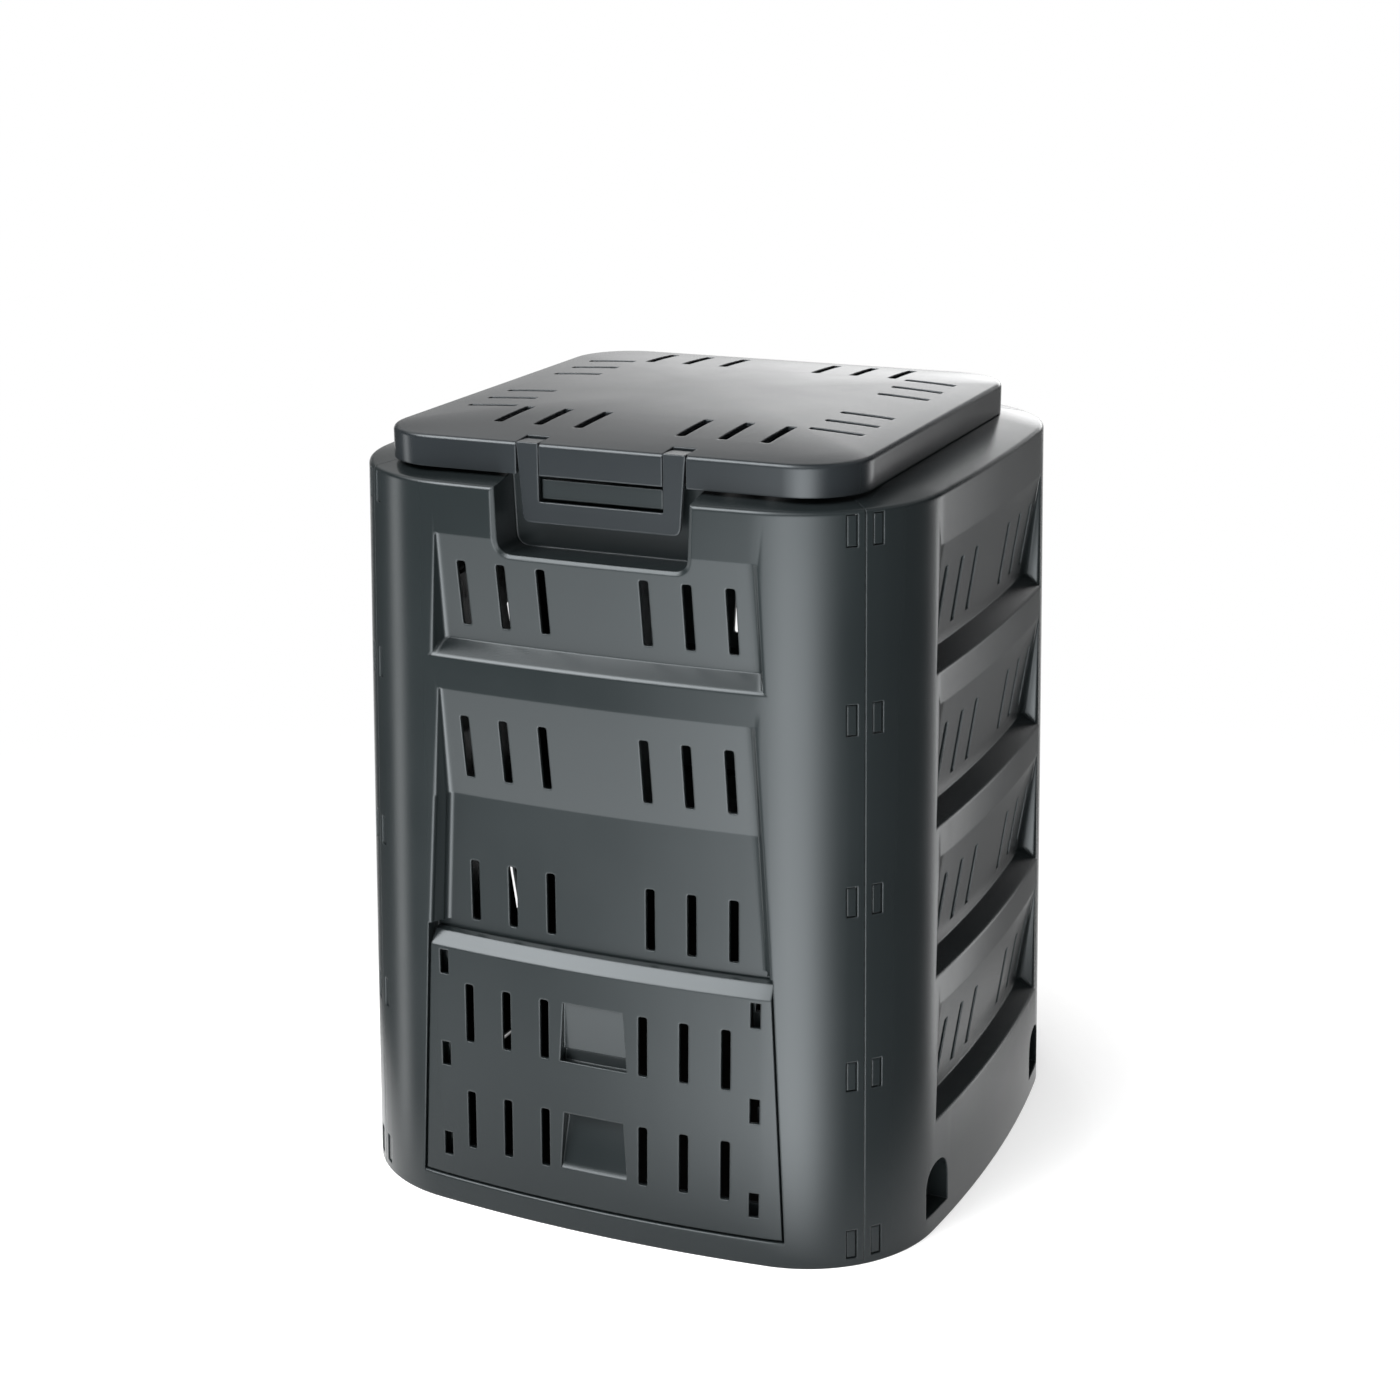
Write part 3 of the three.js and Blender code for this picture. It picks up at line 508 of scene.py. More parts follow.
class Body:
    """The bowed, tapered form that all panels share, in millimetres."""

    def __init__(self, shape):
        self.base = shape.base_width / MM
        self.rim = shape.rim_width / MM
        self.height = shape.rim_height / MM
        self.base_bow = shape.base_side_radius / MM
        self.rim_bow = shape.rim_side_radius / MM
        self.corner = shape.corner_radius / MM
        self.wall = shape.wall_thickness / MM
        self.cap = self.height + SHOULDER_RISE
        self.columns = [-c for c in reversed(COLUMNS)] + [0] + list(COLUMNS)

    def plan(self, z, inset=0):
        """At a height: bow radius less half width, bow radius, corner radius and centre, where they meet."""
        share = z / self.height
        half = (self.base + (self.rim - self.base) * share) / 2 - inset
        bow = 1 / (1 / self.base_bow + (1 / self.rim_bow - 1 / self.base_bow) * share) - inset
        corner = self.corner - inset
        back = bow - half
        centre = (math.sqrt(2 * (bow - corner) ** 2 - back**2) - back) / 2
        return back, bow, corner, centre, math.atan2(centre, back + centre)

    def face(self, across, z, inset=0):
        """The front wall's Y at a place across it and a height, and the turn of its outward direction."""
        back, bow, corner, centre, angle = self.plan(z, inset)
        reach = abs(across)
        if reach <= bow * math.sin(angle):
            return back - math.sqrt(bow**2 - reach**2), math.asin(reach / bow)
        return -centre - math.sqrt(corner**2 - (reach - centre) ** 2), math.asin((reach - centre) / corner)

    def y(self, across, z):
        return self.face(across, z)[0]

    def outline(self, inset, z):
        """Counterclockwise outline: fixed columns along each wall, then steps round each corner."""
        _, _, corner, centre, _ = self.plan(z, inset)
        quarter = [(across, self.face(across, z, inset)[0]) for across in self.columns]
        start = self.face(self.columns[-1], z, inset)[1]
        for step in range(1, CORNER_STEPS):
            turn = start + (QUARTER - 2 * start) * step / CORNER_STEPS
            quarter.append((centre + corner * math.sin(turn), -centre - corner * math.cos(turn)))
        points = []
        for c, s in ((1, 0), (0, 1), (-1, 0), (0, -1)):
            points += [(c * x - s * y, s * x + c * y, z) for x, y in quarter]
        return points

    def rings(self):
        """Heights of the wall's rings above its foot, up to where the rim is rounded."""
        return [self.height * share for share in RING_SHARES] + [self.height - RIM_ROUNDING]

    def outer(self):
        """The body's outer form with its rounded rim and sloped shoulder."""
        outlines = [self.outline(0, z) for z in (0, *self.rings())]
        for step in range(1, EDGE_STEPS + 1):
            angle = QUARTER * step / EDGE_STEPS
            inset = RIM_ROUNDING * (1 - math.cos(angle))
            outlines.append(self.outline(inset, self.height - RIM_ROUNDING * (1 - math.sin(angle))))
        outlines.append(self.outline(SHOULDER_RUN, self.cap))
        return loft(outlines)

    def inner(self):
        """The hollow of the plain shell, narrower at the foot flange."""
        outlines = [self.outline(FOOT_FLANGE, z) for z in (-OVERCUT, self.wall)]
        outlines += [self.outline(self.wall, z) for z in (self.wall, *self.rings())]
        outlines.append(self.outline(RIM_ROUNDING + self.wall, self.height - self.wall))
        outlines.append(self.outline(SHOULDER_RUN, self.cap - self.wall))
        return loft(outlines)

    def mouth(self, inset, bottom, top):
        """The filling mouth's prism between two heights."""
        span = about(0, MOUTH_WIDTH / 2 - inset)
        return loft([rounded_rectangle(span, span, MOUTH_CORNER - inset, z) for z in (bottom, top)])

    def wedge(self):
        """The quarter of the plan that belongs to the front wall, drawn back from both seams."""
        apex = SEAM_GAP * math.sqrt(0.5)
        reach = self.base

        def level(z):
            return [(0, -apex, z), (-reach, -apex - reach, z), (reach, -apex - reach, z)]

        return loft([level(-OVERCUT), level(self.cap + SHOULDER_RUN)])

    def let_in(self, profile, width_at, fillet=0, mouth=0, fall=0):
        """A solid let into the front wall: a profile of depth and height, as wide as width_at says.

        A fillet rounds the corners between its deepest face and its flanks, and a mouth the flanks' outer
        edges, where a profile whose foot is a slope drops by the fall.
        """
        ends = []
        for step in range(EDGE_STEPS + 1) if mouth else ():
            turn = QUARTER * (1 - step / EDGE_STEPS)
            limit, run = mouth * (1 - math.sin(turn)) - TOUCH, mouth * (1 - math.cos(turn))
            ends.append([
                (width_at(0, z) / 2 + run, min(depth, limit), z - fall * max(0, depth - limit))
                for depth, z in profile
            ])
        for step in range(EDGE_STEPS + 1) if fillet else (EDGE_STEPS,):
            turn = QUARTER * step / EDGE_STEPS
            lift, run = fillet * (1 - math.sin(turn)), fillet * (1 - math.cos(turn))
            ends.append([
                (
                    width_at(max(depth, 0) if mouth else depth, z) / 2 - run,
                    depth - (lift if depth > 2 * fillet else 0),
                    z,
                )
                for depth, z in profile
            ])
        edge = min(across for across, _, _ in ends[-1]) - OVERCUT
        stations = [[(-across, depth, z) for across, depth, z in end] for end in ends]
        stations += [
            [(across, depth, z) for depth, z in profile] for across in self.columns if abs(across) < edge
        ]
        stations += reversed(ends)
        return loft([
            [(across, self.y(across, z) + depth, z) for across, depth, z in points] for points in stations
        ])


def rounded_rectangle(x, y, radius, z, steps=CORNER_STEPS // 2):
    """Counterclockwise outline of a rounded rectangle at one height."""
    points = []
    centres = [
        (x[1] - radius, y[0] + radius),
        (x[1] - radius, y[1] - radius),
        (x[0] + radius, y[1] - radius),
        (x[0] + radius, y[0] + radius),
    ]
    for corner, (cx, cy) in enumerate(centres):
        for step in range(steps + 1):
            turn = QUARTER * (corner - 1 + step / steps)
            points.append((cx + radius * math.cos(turn), cy + radius * math.sin(turn), z))
    return points


def recess_width(top, grow):
    """A recess's width by depth and height, below its top."""
    flare = (RECESS_FOOT_WIDTH - RECESS_TOP_WIDTH) / RECESS_HEIGHT
    return lambda depth, z: RECESS_TOP_WIDTH + 2 * grow + (top - z) * flare - depth * FLANK_DRAFT


def louvre(body, top, grow):
    """A louvre recess, or with grow the same recess with its wall round it."""
    slope = LEDGE_DROP / RECESS_DEPTH
    foot = top - RECESS_HEIGHT - grow * math.hypot(1, slope)
    depth = RECESS_DEPTH + grow
    ledge = [(-OVERCUT, foot - slope * OVERCUT)]
    if not grow:
        start, end = (-TOUCH, foot - LEDGE_BEAD), (LEDGE_BEAD, foot + slope * LEDGE_BEAD)
        ledge = [(-OVERCUT, start[1]), start] + bend(start, (0, foot), end)
    profile = [(-OVERCUT, top)] + ledge + [(depth, foot + slope * depth), (grow, top)]
    if grow:
        return body.let_in(profile, recess_width(top, grow))
    return body.let_in(profile, recess_width(top, 0), FLANK_FILLET, FLANK_ROUNDING, slope)


def deep_panel(body, top, grow):
    """The second front recess, which runs on down as a flat panel to the door's rebate."""
    kink = top - PANEL_KINK
    foot = REBATE_TOP - grow
    slope = [(-OVERCUT, top), (-OVERCUT, kink), (RECESS_DEPTH + grow, kink), (grow, top)]
    flat = [(-OVERCUT, kink), (-OVERCUT, foot), (PANEL_DEPTH + grow, foot), (RECESS_DEPTH + grow, kink)]
    width = recess_width(top, grow)
    edges = () if grow else (FLANK_FILLET, FLANK_ROUNDING)
    return join(body.let_in(slope, width, *edges), body.let_in(flat, width, *edges))


def door_space(body, depths, insets, fall=0, lip=()):
    """The door's space in the front wall between two depths, drawn in from the rebate's edges.

    A fall lowers the front of its top edge, and a lip slopes that edge over a run and a drop.
    """
    flare = (REBATE_FOOT_WIDTH - REBATE_TOP_WIDTH) / (REBATE_TOP - REBATE_FOOT)
    foot, top = REBATE_FOOT + insets["foot"], REBATE_TOP - insets["top"]
    edge = [(depths[0], top - fall)]
    if lip:
        run, drop = lip
        ridge = top - fall * (1 - run / (depths[1] - depths[0]))
        edge = [(depths[0] + run, ridge), (depths[0], ridge - drop)]
    profile = edge + [(depths[0], foot), (depths[1], foot), (depths[1], top)]
    return body.let_in(
        profile, lambda depth, z: REBATE_TOP_WIDTH + flare * (REBATE_TOP - z) - 2 * insets["side"]
    )


def slot_row(body, top, length, depths):
    """A row of six upright slots cut square to the wall between two depths."""
    cutters = []
    for across in SLOT_COLUMNS:
        face = body.y(across, top - length / 2)
        cutters.append(pushed(rounded_slot(across, top, length), (face + depths[0], face + depths[1])))
    return merged(cutters)


def clip_windows(body):
    """The windows that the corner clips' prongs fill, beside both seams of the front wall."""
    cutters = []
    half, rise = CLIP_WINDOW[0] / 2, CLIP_WINDOW[1] / 2
    for level in CLIP_LEVELS:
        for side in SIDES:
            x = about(-side * CLIP_OFFSET, half)
            window = block(x, (-body.base, -MOUTH_WIDTH / 2), about(level, rise))
            window.data.transform(Matrix.Rotation(side * QUARTER / 2, 4, "Z"))
            cutters.append(window)
    return merged(cutters)


def wall_blank(body, cuts, backings):
    """The front wall's quarter of the shell, with the cuts taken out and their backings left in."""
    hollow = cut(body.inner(), *backings)
    deep = body.cap - MOUTH_LIP
    lip = cut(body.mouth(-body.wall, deep, body.cap), body.mouth(0, deep - OVERCUT, body.cap + OVERCUT))
    shell = join(cut(body.outer(), hollow), lip)
    shell = cut(shell, body.mouth(0, deep - OVERCUT, body.cap + OVERCUT), *cuts, clip_windows(body))
    return within(shell, body.wedge())


def peg_arch(body, across, grow):
    """The pointed arch let into the foot of a wall for a ground peg."""
    half, foot, top = PEG_WIDTH / 2 + grow, PEG_FOOT - grow, PEG_TOP + grow
    right, left = (across + half, PEG_SPRING), (across - half, PEG_SPRING)
    points = [(across - half, foot), (across + half, foot), right]
    points += bend(right, (across + half, top), (across, top))
    points += bend((across, top), (across - half, top), left)
    face = body.y(across, PEG_FOOT)
    return pushed(points, (face - PEG_WIDTH, face + PEG_DEPTH + grow))


def peg_hole(body, across):
    """The hole in the floor of a peg arch."""
    floor = body.y(across, PEG_FOOT) + PEG_DEPTH
    depths = (floor - OVERCUT, floor + body.wall + OVERCUT)
    x = about(across, PEG_WIDTH / 2 - body.wall)
    return block(x, depths, (PEG_FOOT, PEG_FOOT + PEG_HOLE_HEIGHT))


def through_recess(body):
    return (-OVERCUT, PANEL_DEPTH + body.wall + 2 * OVERCUT)


def louvred_wall(body):
    """A side wall: four louvre recesses with their slots and two ground-peg openings."""
    tops = [RECESS_TOP - row * RECESS_PITCH for row in range(SIDE_RECESSES)]
    pegs = [side * PEG_COLUMN for side in SIDES]
    cuts = [merged([louvre(body, top, 0) for top in tops])]
    through = through_recess(body)
    cuts += [slot_row(body, top - RECESS_SLOT_DROP, RECESS_SLOT_LENGTH, through) for top in tops]
    cuts.append(merged([peg_arch(body, across, 0) for across in pegs]))
    cuts.append(merged([peg_hole(body, across) for across in pegs]))
    backings = [merged([louvre(body, top, body.wall) for top in tops])]
    backings.append(merged([peg_arch(body, across, body.wall) for across in pegs]))
    return wall_blank(body, cuts, backings)


def with_hinge_ears(body, wall):
    """The rear wall's two pairs of ears, drawn in the front position."""
    reach = HINGE_KNUCKLE / 2 + SIDE_GAP
    for side in SIDES:
        for edge in SIDES:
            inner = side * HINGE_COLUMN + edge * reach
            x = sorted((inner, inner + edge * HINGE_EAR))
            stem = block(x, about(-HINGE_SET_BACK, HINGE_BARREL), (body.cap - body.wall, HINGE_HEIGHT))
            eye = rod(HINGE_BARREL, HINGE_EAR, sum(x) / 2, -HINGE_SET_BACK, HINGE_HEIGHT)
            wall = join(wall, stem, eye)
    length = 2 * (HINGE_COLUMN + HINGE_KNUCKLE + HINGE_EAR)
    return cut(wall, rod(HINGE_PIN + TURN_GAP, length, 0, -HINGE_SET_BACK, HINGE_HEIGHT))


def hand_notch(body, grow):
    """The notch for a hand under the latch with its front edge sloped, or with grow its wall."""
    face = body.y(0, body.height)
    run, drop = (1, 0) if grow else NOTCH_LIP
    mouth = grow + drop * (1 + OVERCUT / run)
    stations = [
        (face + NOTCH_DEPTH + grow, None, grow),
        (0, run, grow),
        (0, -OVERCUT, mouth),
        (face - NOTCH_DEPTH, None, mouth),
    ]
    outlines = []
    for y, depth, wider in stations:
        corners = trapezium(
            NOTCH_WIDTH / 2 + wider, NOTCH_FOOT_WIDTH / 2 + wider, NOTCH_FLOOR - wider,
            body.cap + SHOULDER_RUN, NOTCH_ROUNDING + wider,
        )
        outline = []
        for (x, z), (far_x, far_z) in zip(corners, corners[1:] + corners[:1]):
            for step in range(CURVE_STEPS if abs(far_x - x) > NOTCH_WIDTH / 2 else 1):
                share = step / CURVE_STEPS
                outline.append((x + share * (far_x - x), z + share * (far_z - z)))
        for at, (x, z) in enumerate(outline):
            sunk = RECESS_DEPTH * max(0, RECESS_TOP - z) / RECESS_HEIGHT
            front = y if depth is None else body.y(x, min(z, body.cap)) + sunk + depth
            outline[at] = (x, front, z)
        outlines.append(outline)
    return loft(outlines)


def keeper(body):
    """The block that the latch's window closes round."""
    back = body.y(0, body.height) + NOTCH_DEPTH + body.wall
    x = about(0, LATCH_WINDOW / 2 - KEEPER_CLEARANCE)
    return block(x, (LATCH_THICKNESS + SIDE_GAP - LID_FRONT, back), KEEPER_LEVELS)


def hook_catches(body):
    """Slots of the rebate's floor for the door's hooks, with room for the lift."""
    cutters = []
    half = HOOK_WINDOW[0] / 2 + HOOK_PLAY
    for top in HOOK_TOPS:
        floor = body.y(HOOK_COLUMN, top) + REBATE_DEPTH
        levels = (top - HOOK_LENGTH + HOOK_GRIP, top + DOOR_LIFT + HOOK_THICKNESS + HOOK_PLAY)
        for side in SIDES:
            x = about(side * HOOK_COLUMN, half)
            cutters.append(block(x, (floor - OVERCUT, floor + body.wall + OVERCUT), levels))
    return merged(cutters)


def sill_bead(body):
    """Rounds the wall's edge below the door."""
    start, end = (-TOUCH, REBATE_FOOT - SILL_BEAD), (SILL_BEAD, REBATE_FOOT)
    profile = [(-OVERCUT, REBATE_FOOT + OVERCUT), (-OVERCUT, start[1]), start]
    profile += bend(start, (0, REBATE_FOOT), end) + [(SILL_BEAD, REBATE_FOOT + OVERCUT)]
    return body.let_in(profile, lambda depth, z: REBATE_FOOT_WIDTH - 2 * TOUCH)


def front_wall(body):
    """The front wall: two recesses, the flat panel, the door's rebate and opening, and the hand notch."""
    panel_top = RECESS_TOP - RECESS_PITCH
    flush = dict.fromkeys(("side", "foot", "top"), 0)
    grown = dict.fromkeys(flush, -body.wall)
    margins = dict.fromkeys(flush, OPENING_MARGIN)
    through = through_recess(body)
    cuts = [
        louvre(body, RECESS_TOP, 0),
        deep_panel(body, panel_top, 0),
        slot_row(body, RECESS_TOP - RECESS_SLOT_DROP, RECESS_SLOT_LENGTH, through),
        slot_row(body, panel_top - RECESS_SLOT_DROP, RECESS_SLOT_LENGTH, through),
        slot_row(body, PANEL_SLOT_TOP, PANEL_SLOT_LENGTH, through),
        door_space(body, (-OVERCUT, REBATE_DEPTH), flush),
        sill_bead(body),
        door_space(body, (-OVERCUT, REBATE_DEPTH + body.wall + OVERCUT), margins),
        hook_catches(body),
        hand_notch(body, 0),
    ]
    backings = [
        louvre(body, RECESS_TOP, body.wall),
        deep_panel(body, panel_top, body.wall),
        door_space(body, (-OVERCUT, REBATE_DEPTH + body.wall), grown),
        hand_notch(body, body.wall),
    ]
    return join(wall_blank(body, cuts, backings), keeper(body))


# Door, lid and latch

def finger_grip(body, top, deep_at_foot, grow):
    """A finger pocket: flush at one end and deepest at the other."""
    foot = top - GRIP_HEIGHT
    face = DOOR_SET_BACK - OVERCUT
    if deep_at_foot:
        profile = [
            (face, top + grow),
            (face, foot - grow),
            (GRIP_DEPTH + grow, foot - grow - GRIP_UNDERCUT),
            (GRIP_DEPTH + grow, foot + grow + 2 * GRIP_UNDERCUT),
            (GRIP_DEPTH - GRIP_UNDERCUT + grow, foot + grow + 2 * GRIP_UNDERCUT),
            (GRIP_FLOOR + grow, top + grow),
        ]
    else:
        run, drop = GRIP_LIP[0], 0 if grow else GRIP_LIP[1]
        profile = [
            (face, top + grow),
            (face, foot - grow - drop * OVERCUT / run),
            (DOOR_SET_BACK + run + grow, foot - grow + drop),
            (GRIP_DEPTH + grow, top + grow),
        ]
    flare = (GRIP_FOOT_WIDTH - GRIP_TOP_WIDTH) / GRIP_HEIGHT
    return body.let_in(profile, lambda depth, z: GRIP_TOP_WIDTH + flare * (top - z) + 2 * grow)


def door_hooks(body):
    """The six hooks on the door's back, each a stem with a hanging finger."""
    reach = REBATE_DEPTH + body.wall + HOOK_PLAY
    hooks = []
    for top in HOOK_TOPS:
        face = body.y(HOOK_COLUMN, top)
        far = (face + reach, face + reach + HOOK_THICKNESS)
        for side in SIDES:
            outer = side * (HOOK_COLUMN + HOOK_WINDOW[0] / 2)
            x = sorted((outer, outer - side * HOOK_WIDTH))
            stem = block(x, (face + DOOR_SET_BACK + DOOR_SKIN / 2, far[1]), (top, top + HOOK_THICKNESS))
            hooks.append(join(stem, block(x, far, (top - HOOK_LENGTH, top + HOOK_THICKNESS))))
    return merged(hooks)


def hook_windows(body):
    """The windows of the door in front of its hooks."""
    cutters = []
    for top in HOOK_TOPS:
        face = body.y(HOOK_COLUMN, top)
        depths = (face - 2 * OVERCUT, face + DOOR_SET_BACK + DOOR_SKIN + OVERCUT)
        for side in SIDES:
            x = about(side * HOOK_COLUMN, HOOK_WINDOW[0] / 2)
            cutters.append(block(x, depths, (top - HOOK_WINDOW[1], top)))
    return merged(cutters)


def emptying_door(body):
    """The emptying door: a shallow tray with slots, finger grips, hook windows and hooks."""
    back = DOOR_SET_BACK + DOOR_FLANGE
    tray = door_space(body, (DOOR_SET_BACK, back), DOOR_INSETS, DOOR_TOP_SLOPE, DOOR_LIP)
    inner = {edge: inset + DOOR_SKIN for edge, inset in DOOR_INSETS.items()}
    inner["top"] += DOOR_LIP[1]
    tray = cut(tray, door_space(body, (DOOR_SET_BACK + DOOR_SKIN, REBATE_DEPTH + OVERCUT), inner))
    grips = list(zip(DOOR_SLOT_TOPS, (True, False)))
    cover = door_space(body, (DOOR_SET_BACK + DOOR_SKIN / 2, REBATE_DEPTH), dict.fromkeys(DOOR_INSETS, 0))
    backs = within(merged([finger_grip(body, top, deep, body.wall / 2) for top, deep in grips]), cover)
    tray = join(tray, backs)
    depths = (-OVERCUT, DOOR_SET_BACK + DOOR_SKIN + OVERCUT)
    tray = cut(
        tray,
        merged([finger_grip(body, top, deep, 0) for top, deep in grips]),
        *[slot_row(body, top, DOOR_SLOT_LENGTH, depths) for top in DOOR_SLOT_TOPS],
        hook_windows(body),
    )
    return join(tray, door_hooks(body))


def lid_outline(inset, z, share=1):
    """The lid's outline at a height, drawn in by an inset and shrunk to a share."""
    half, front, back = LID_WIDTH / 2 - inset, LID_FRONT - inset, LID_BACK - inset
    return rounded_rectangle(
        (-half * share, half * share), (-front * share, back * share), (LID_CORNER - inset) * share, z
    )


def lid_form(inset, foot):
    """The lid's outer form, or with an inset its hollow: skirt, rounded edge and low crown."""
    outlines = [lid_outline(inset, foot)]
    for step in range(EDGE_STEPS + 1):
        angle = QUARTER * step / EDGE_STEPS
        edge = inset + LID_ROUNDING * (1 - math.cos(angle))
        outlines.append(lid_outline(edge, LID_EDGE - inset - LID_ROUNDING * (1 - math.sin(angle))))
    rise = LID_TOP - LID_EDGE
    for step in range(1, CROWN_STEPS):
        share = 1 - step / CROWN_STEPS
        height = 1 - share**3
        outlines.append(lid_outline(inset + LID_ROUNDING, LID_EDGE - inset + rise * height, share))
    return loft(outlines)


def latch_centre():
    """Middle of the right-hand strap, and its half width."""
    width = (LATCH_TOP_WIDTH - LATCH_WINDOW) / 2
    return (LATCH_TOP_WIDTH - width) / 2, width / 2


def lid_cover():
    """The lid: crowned cover with slots, latch channels and ears, and the hinge knuckles."""
    centre, half = latch_centre()
    pivot = LATCH_PIVOT_SET_BACK - LID_FRONT
    lid = cut(lid_form(0, LID_SKIRT_FOOT), lid_form(LID_THICKNESS, LID_SKIRT_FOOT - OVERCUT))
    channel = half + CHANNEL_CLEARANCE
    levels = (LATCH_PIVOT_HEIGHT - LATCH_EAR_DROP, LID_EDGE - LID_THICKNESS / 2)
    depths = (-LID_FRONT + LID_THICKNESS / 2, pivot + LATCH_EAR_DROP)
    for side in SIDES:
        for edge in SIDES:
            start = side * centre + edge * channel
            lid = join(lid, block(sorted((start, start + edge * LATCH_EAR_WIDTH)), depths, levels))
        x = about(side * HINGE_COLUMN, HINGE_KNUCKLE / 2)
        z = (HINGE_HEIGHT - HINGE_BARREL + SIDE_GAP, HINGE_HEIGHT + HINGE_BARREL)
        arm = block(x, (LID_BACK - LID_THICKNESS / 2, HINGE_SET_BACK), z)
        eye = rod(HINGE_BARREL - SIDE_GAP, HINGE_KNUCKLE, side * HINGE_COLUMN, HINGE_SET_BACK, HINGE_HEIGHT)
        lid = join(lid, arm, eye)
    cutters = []
    levels = (LID_EDGE - 2 * LID_THICKNESS, LID_TOP + OVERCUT)
    for column in SLOT_COLUMNS:
        for side in SIDES:
            for reach, turn in ((LID_FRONT_SLOTS, 0), (LID_SIDE_SLOTS, 1)):
                length = reach[1] - reach[0]
                outline = rounded_slot(column, max(side * reach[0], side * reach[1]), length)
                if turn:
                    outline = [(y, x) for x, y in reversed(outline)]
                cutters.append(loft([[(x, y, z) for x, y in outline] for z in levels]))
    depths = (-LID_FRONT - OVERCUT, CHANNEL_LENGTH - LID_FRONT)
    levels = (LID_SKIRT_FOOT - OVERCUT, LID_TOP)
    channels = [block(about(side * centre, channel), depths, levels) for side in SIDES]
    return cut(
        lid,
        merged(cutters),
        merged(channels),
        rod(LATCH_PIN + TURN_GAP, LATCH_TOP_WIDTH + 4 * LATCH_EAR_WIDTH, 0, pivot, LATCH_PIVOT_HEIGHT),
        rod(HINGE_PIN + TURN_GAP, LID_WIDTH, 0, HINGE_SET_BACK, HINGE_HEIGHT),
    )


def swing_latch():
    """The swing latch: a wide U with a grip bar, tabs and barrels."""
    top = LID_EDGE
    face = -LID_FRONT
    pivot = face + LATCH_PIVOT_SET_BACK
    outline = trapezium(LATCH_TOP_WIDTH / 2, LATCH_FOOT_WIDTH / 2, LATCH_FOOT, top, LATCH_CORNER)
    opening = trapezium(
        LATCH_WINDOW / 2, LATCH_WINDOW / 2, LATCH_FOOT + LATCH_BAR, top + OVERCUT, LATCH_WINDOW_CORNER
    )
    latch = cut(
        pushed(outline, (face, face + LATCH_THICKNESS)),
        pushed(opening, (face - OVERCUT, face + LATCH_THICKNESS + OVERCUT)),
    )
    centre, half = latch_centre()
    for side in SIDES:
        levels = (LATCH_PIVOT_HEIGHT + LATCH_PIN, top)
        tab = block(about(side * centre, half), (face, pivot + LATCH_TAB_OVERRUN), levels)
        latch = join(latch, tab, rod(LATCH_BARREL, 2 * half, side * centre, pivot, LATCH_PIVOT_HEIGHT))
    return cut(latch, rod(LATCH_PIN + TURN_GAP, LID_WIDTH, 0, pivot, LATCH_PIVOT_HEIGHT))


def placed(piece, name, node, body_name, material, turn=0, rim_level=None):
    """Shades and names a piece, turns it to its side of the bin and lets it stand for its solid."""
    smooth(piece, rim_level)
    piece.name = piece.data.name = name
    piece.data.transform(Matrix.Rotation(turn * QUARTER, 4, "Z"))
    piece.data.materials.clear()
    piece.data.materials.append(material)
    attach(piece, body_name)
    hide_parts(node)
    return piece


def smooth(piece, rim_level=None):
    """Smooth faces with sharp edges, which shallow level creases of a wall also count as."""
    mesh = bmesh.new()
    mesh.from_mesh(piece.data)
    bmesh.ops.dissolve_limit(
        mesh, angle_limit=math.radians(FLAT_TURN), verts=mesh.verts, edges=mesh.edges
    )
    for face in mesh.faces:
        face.smooth = True
    for edge in mesh.edges:
        if len(edge.link_faces) != 2:
            continue
        angle = math.degrees(edge.calc_face_angle(0))
        sharp = angle > SHARP_TURN
        if rim_level and not sharp and angle > CREASE_TURN:
            upright = all(abs(face.normal.z) < UPRIGHT_LIMIT for face in edge.link_faces)
            ends = [v.co.z for v in edge.verts]
            sharp = upright and max(ends) < rim_level and abs(ends[0] - ends[1]) < CREASE_RISE * MM
        edge.smooth = not sharp
    mesh.to_mesh(piece.data)
    mesh.free()


# Materials

def linear(hex_value):
    """A linear RGBA colour from an sRGB hex value."""
    digits = hex_value.lstrip("#")
    channels = [int(digits[i : i + 2], 16) / 255 for i in (0, 2, 4)]
    return (*[c / 12.92 if c <= 0.04045 else ((c + 0.055) / 1.055) ** 2.4 for c in channels], 1)


def add_node(tree, kind, settings=None, links=None):
    """Adds a shader node with its settings and input values, fed by outputs or by nodes' first outputs."""
    node = tree.nodes.new("ShaderNode" + kind)
    for name, value in (settings or {}).items():
        if isinstance(name, int) or name in node.inputs:
            node.inputs[name].default_value = value
        else:
            setattr(node, name, value)
    for name, source in (links or {}).items():
        output = source.outputs[0] if isinstance(source, bpy.types.Node) else source
        tree.links.new(output, node.inputs[name])
    return node


def empty_material(name):
    material = bpy.data.materials.new(name)
    material.use_nodes = True
    material.node_tree.nodes.clear()
    return material


def per_metre(millimetres):
    """Noise scale whose pattern repeats about once in that many millimetres."""
    return 1000 / millimetres


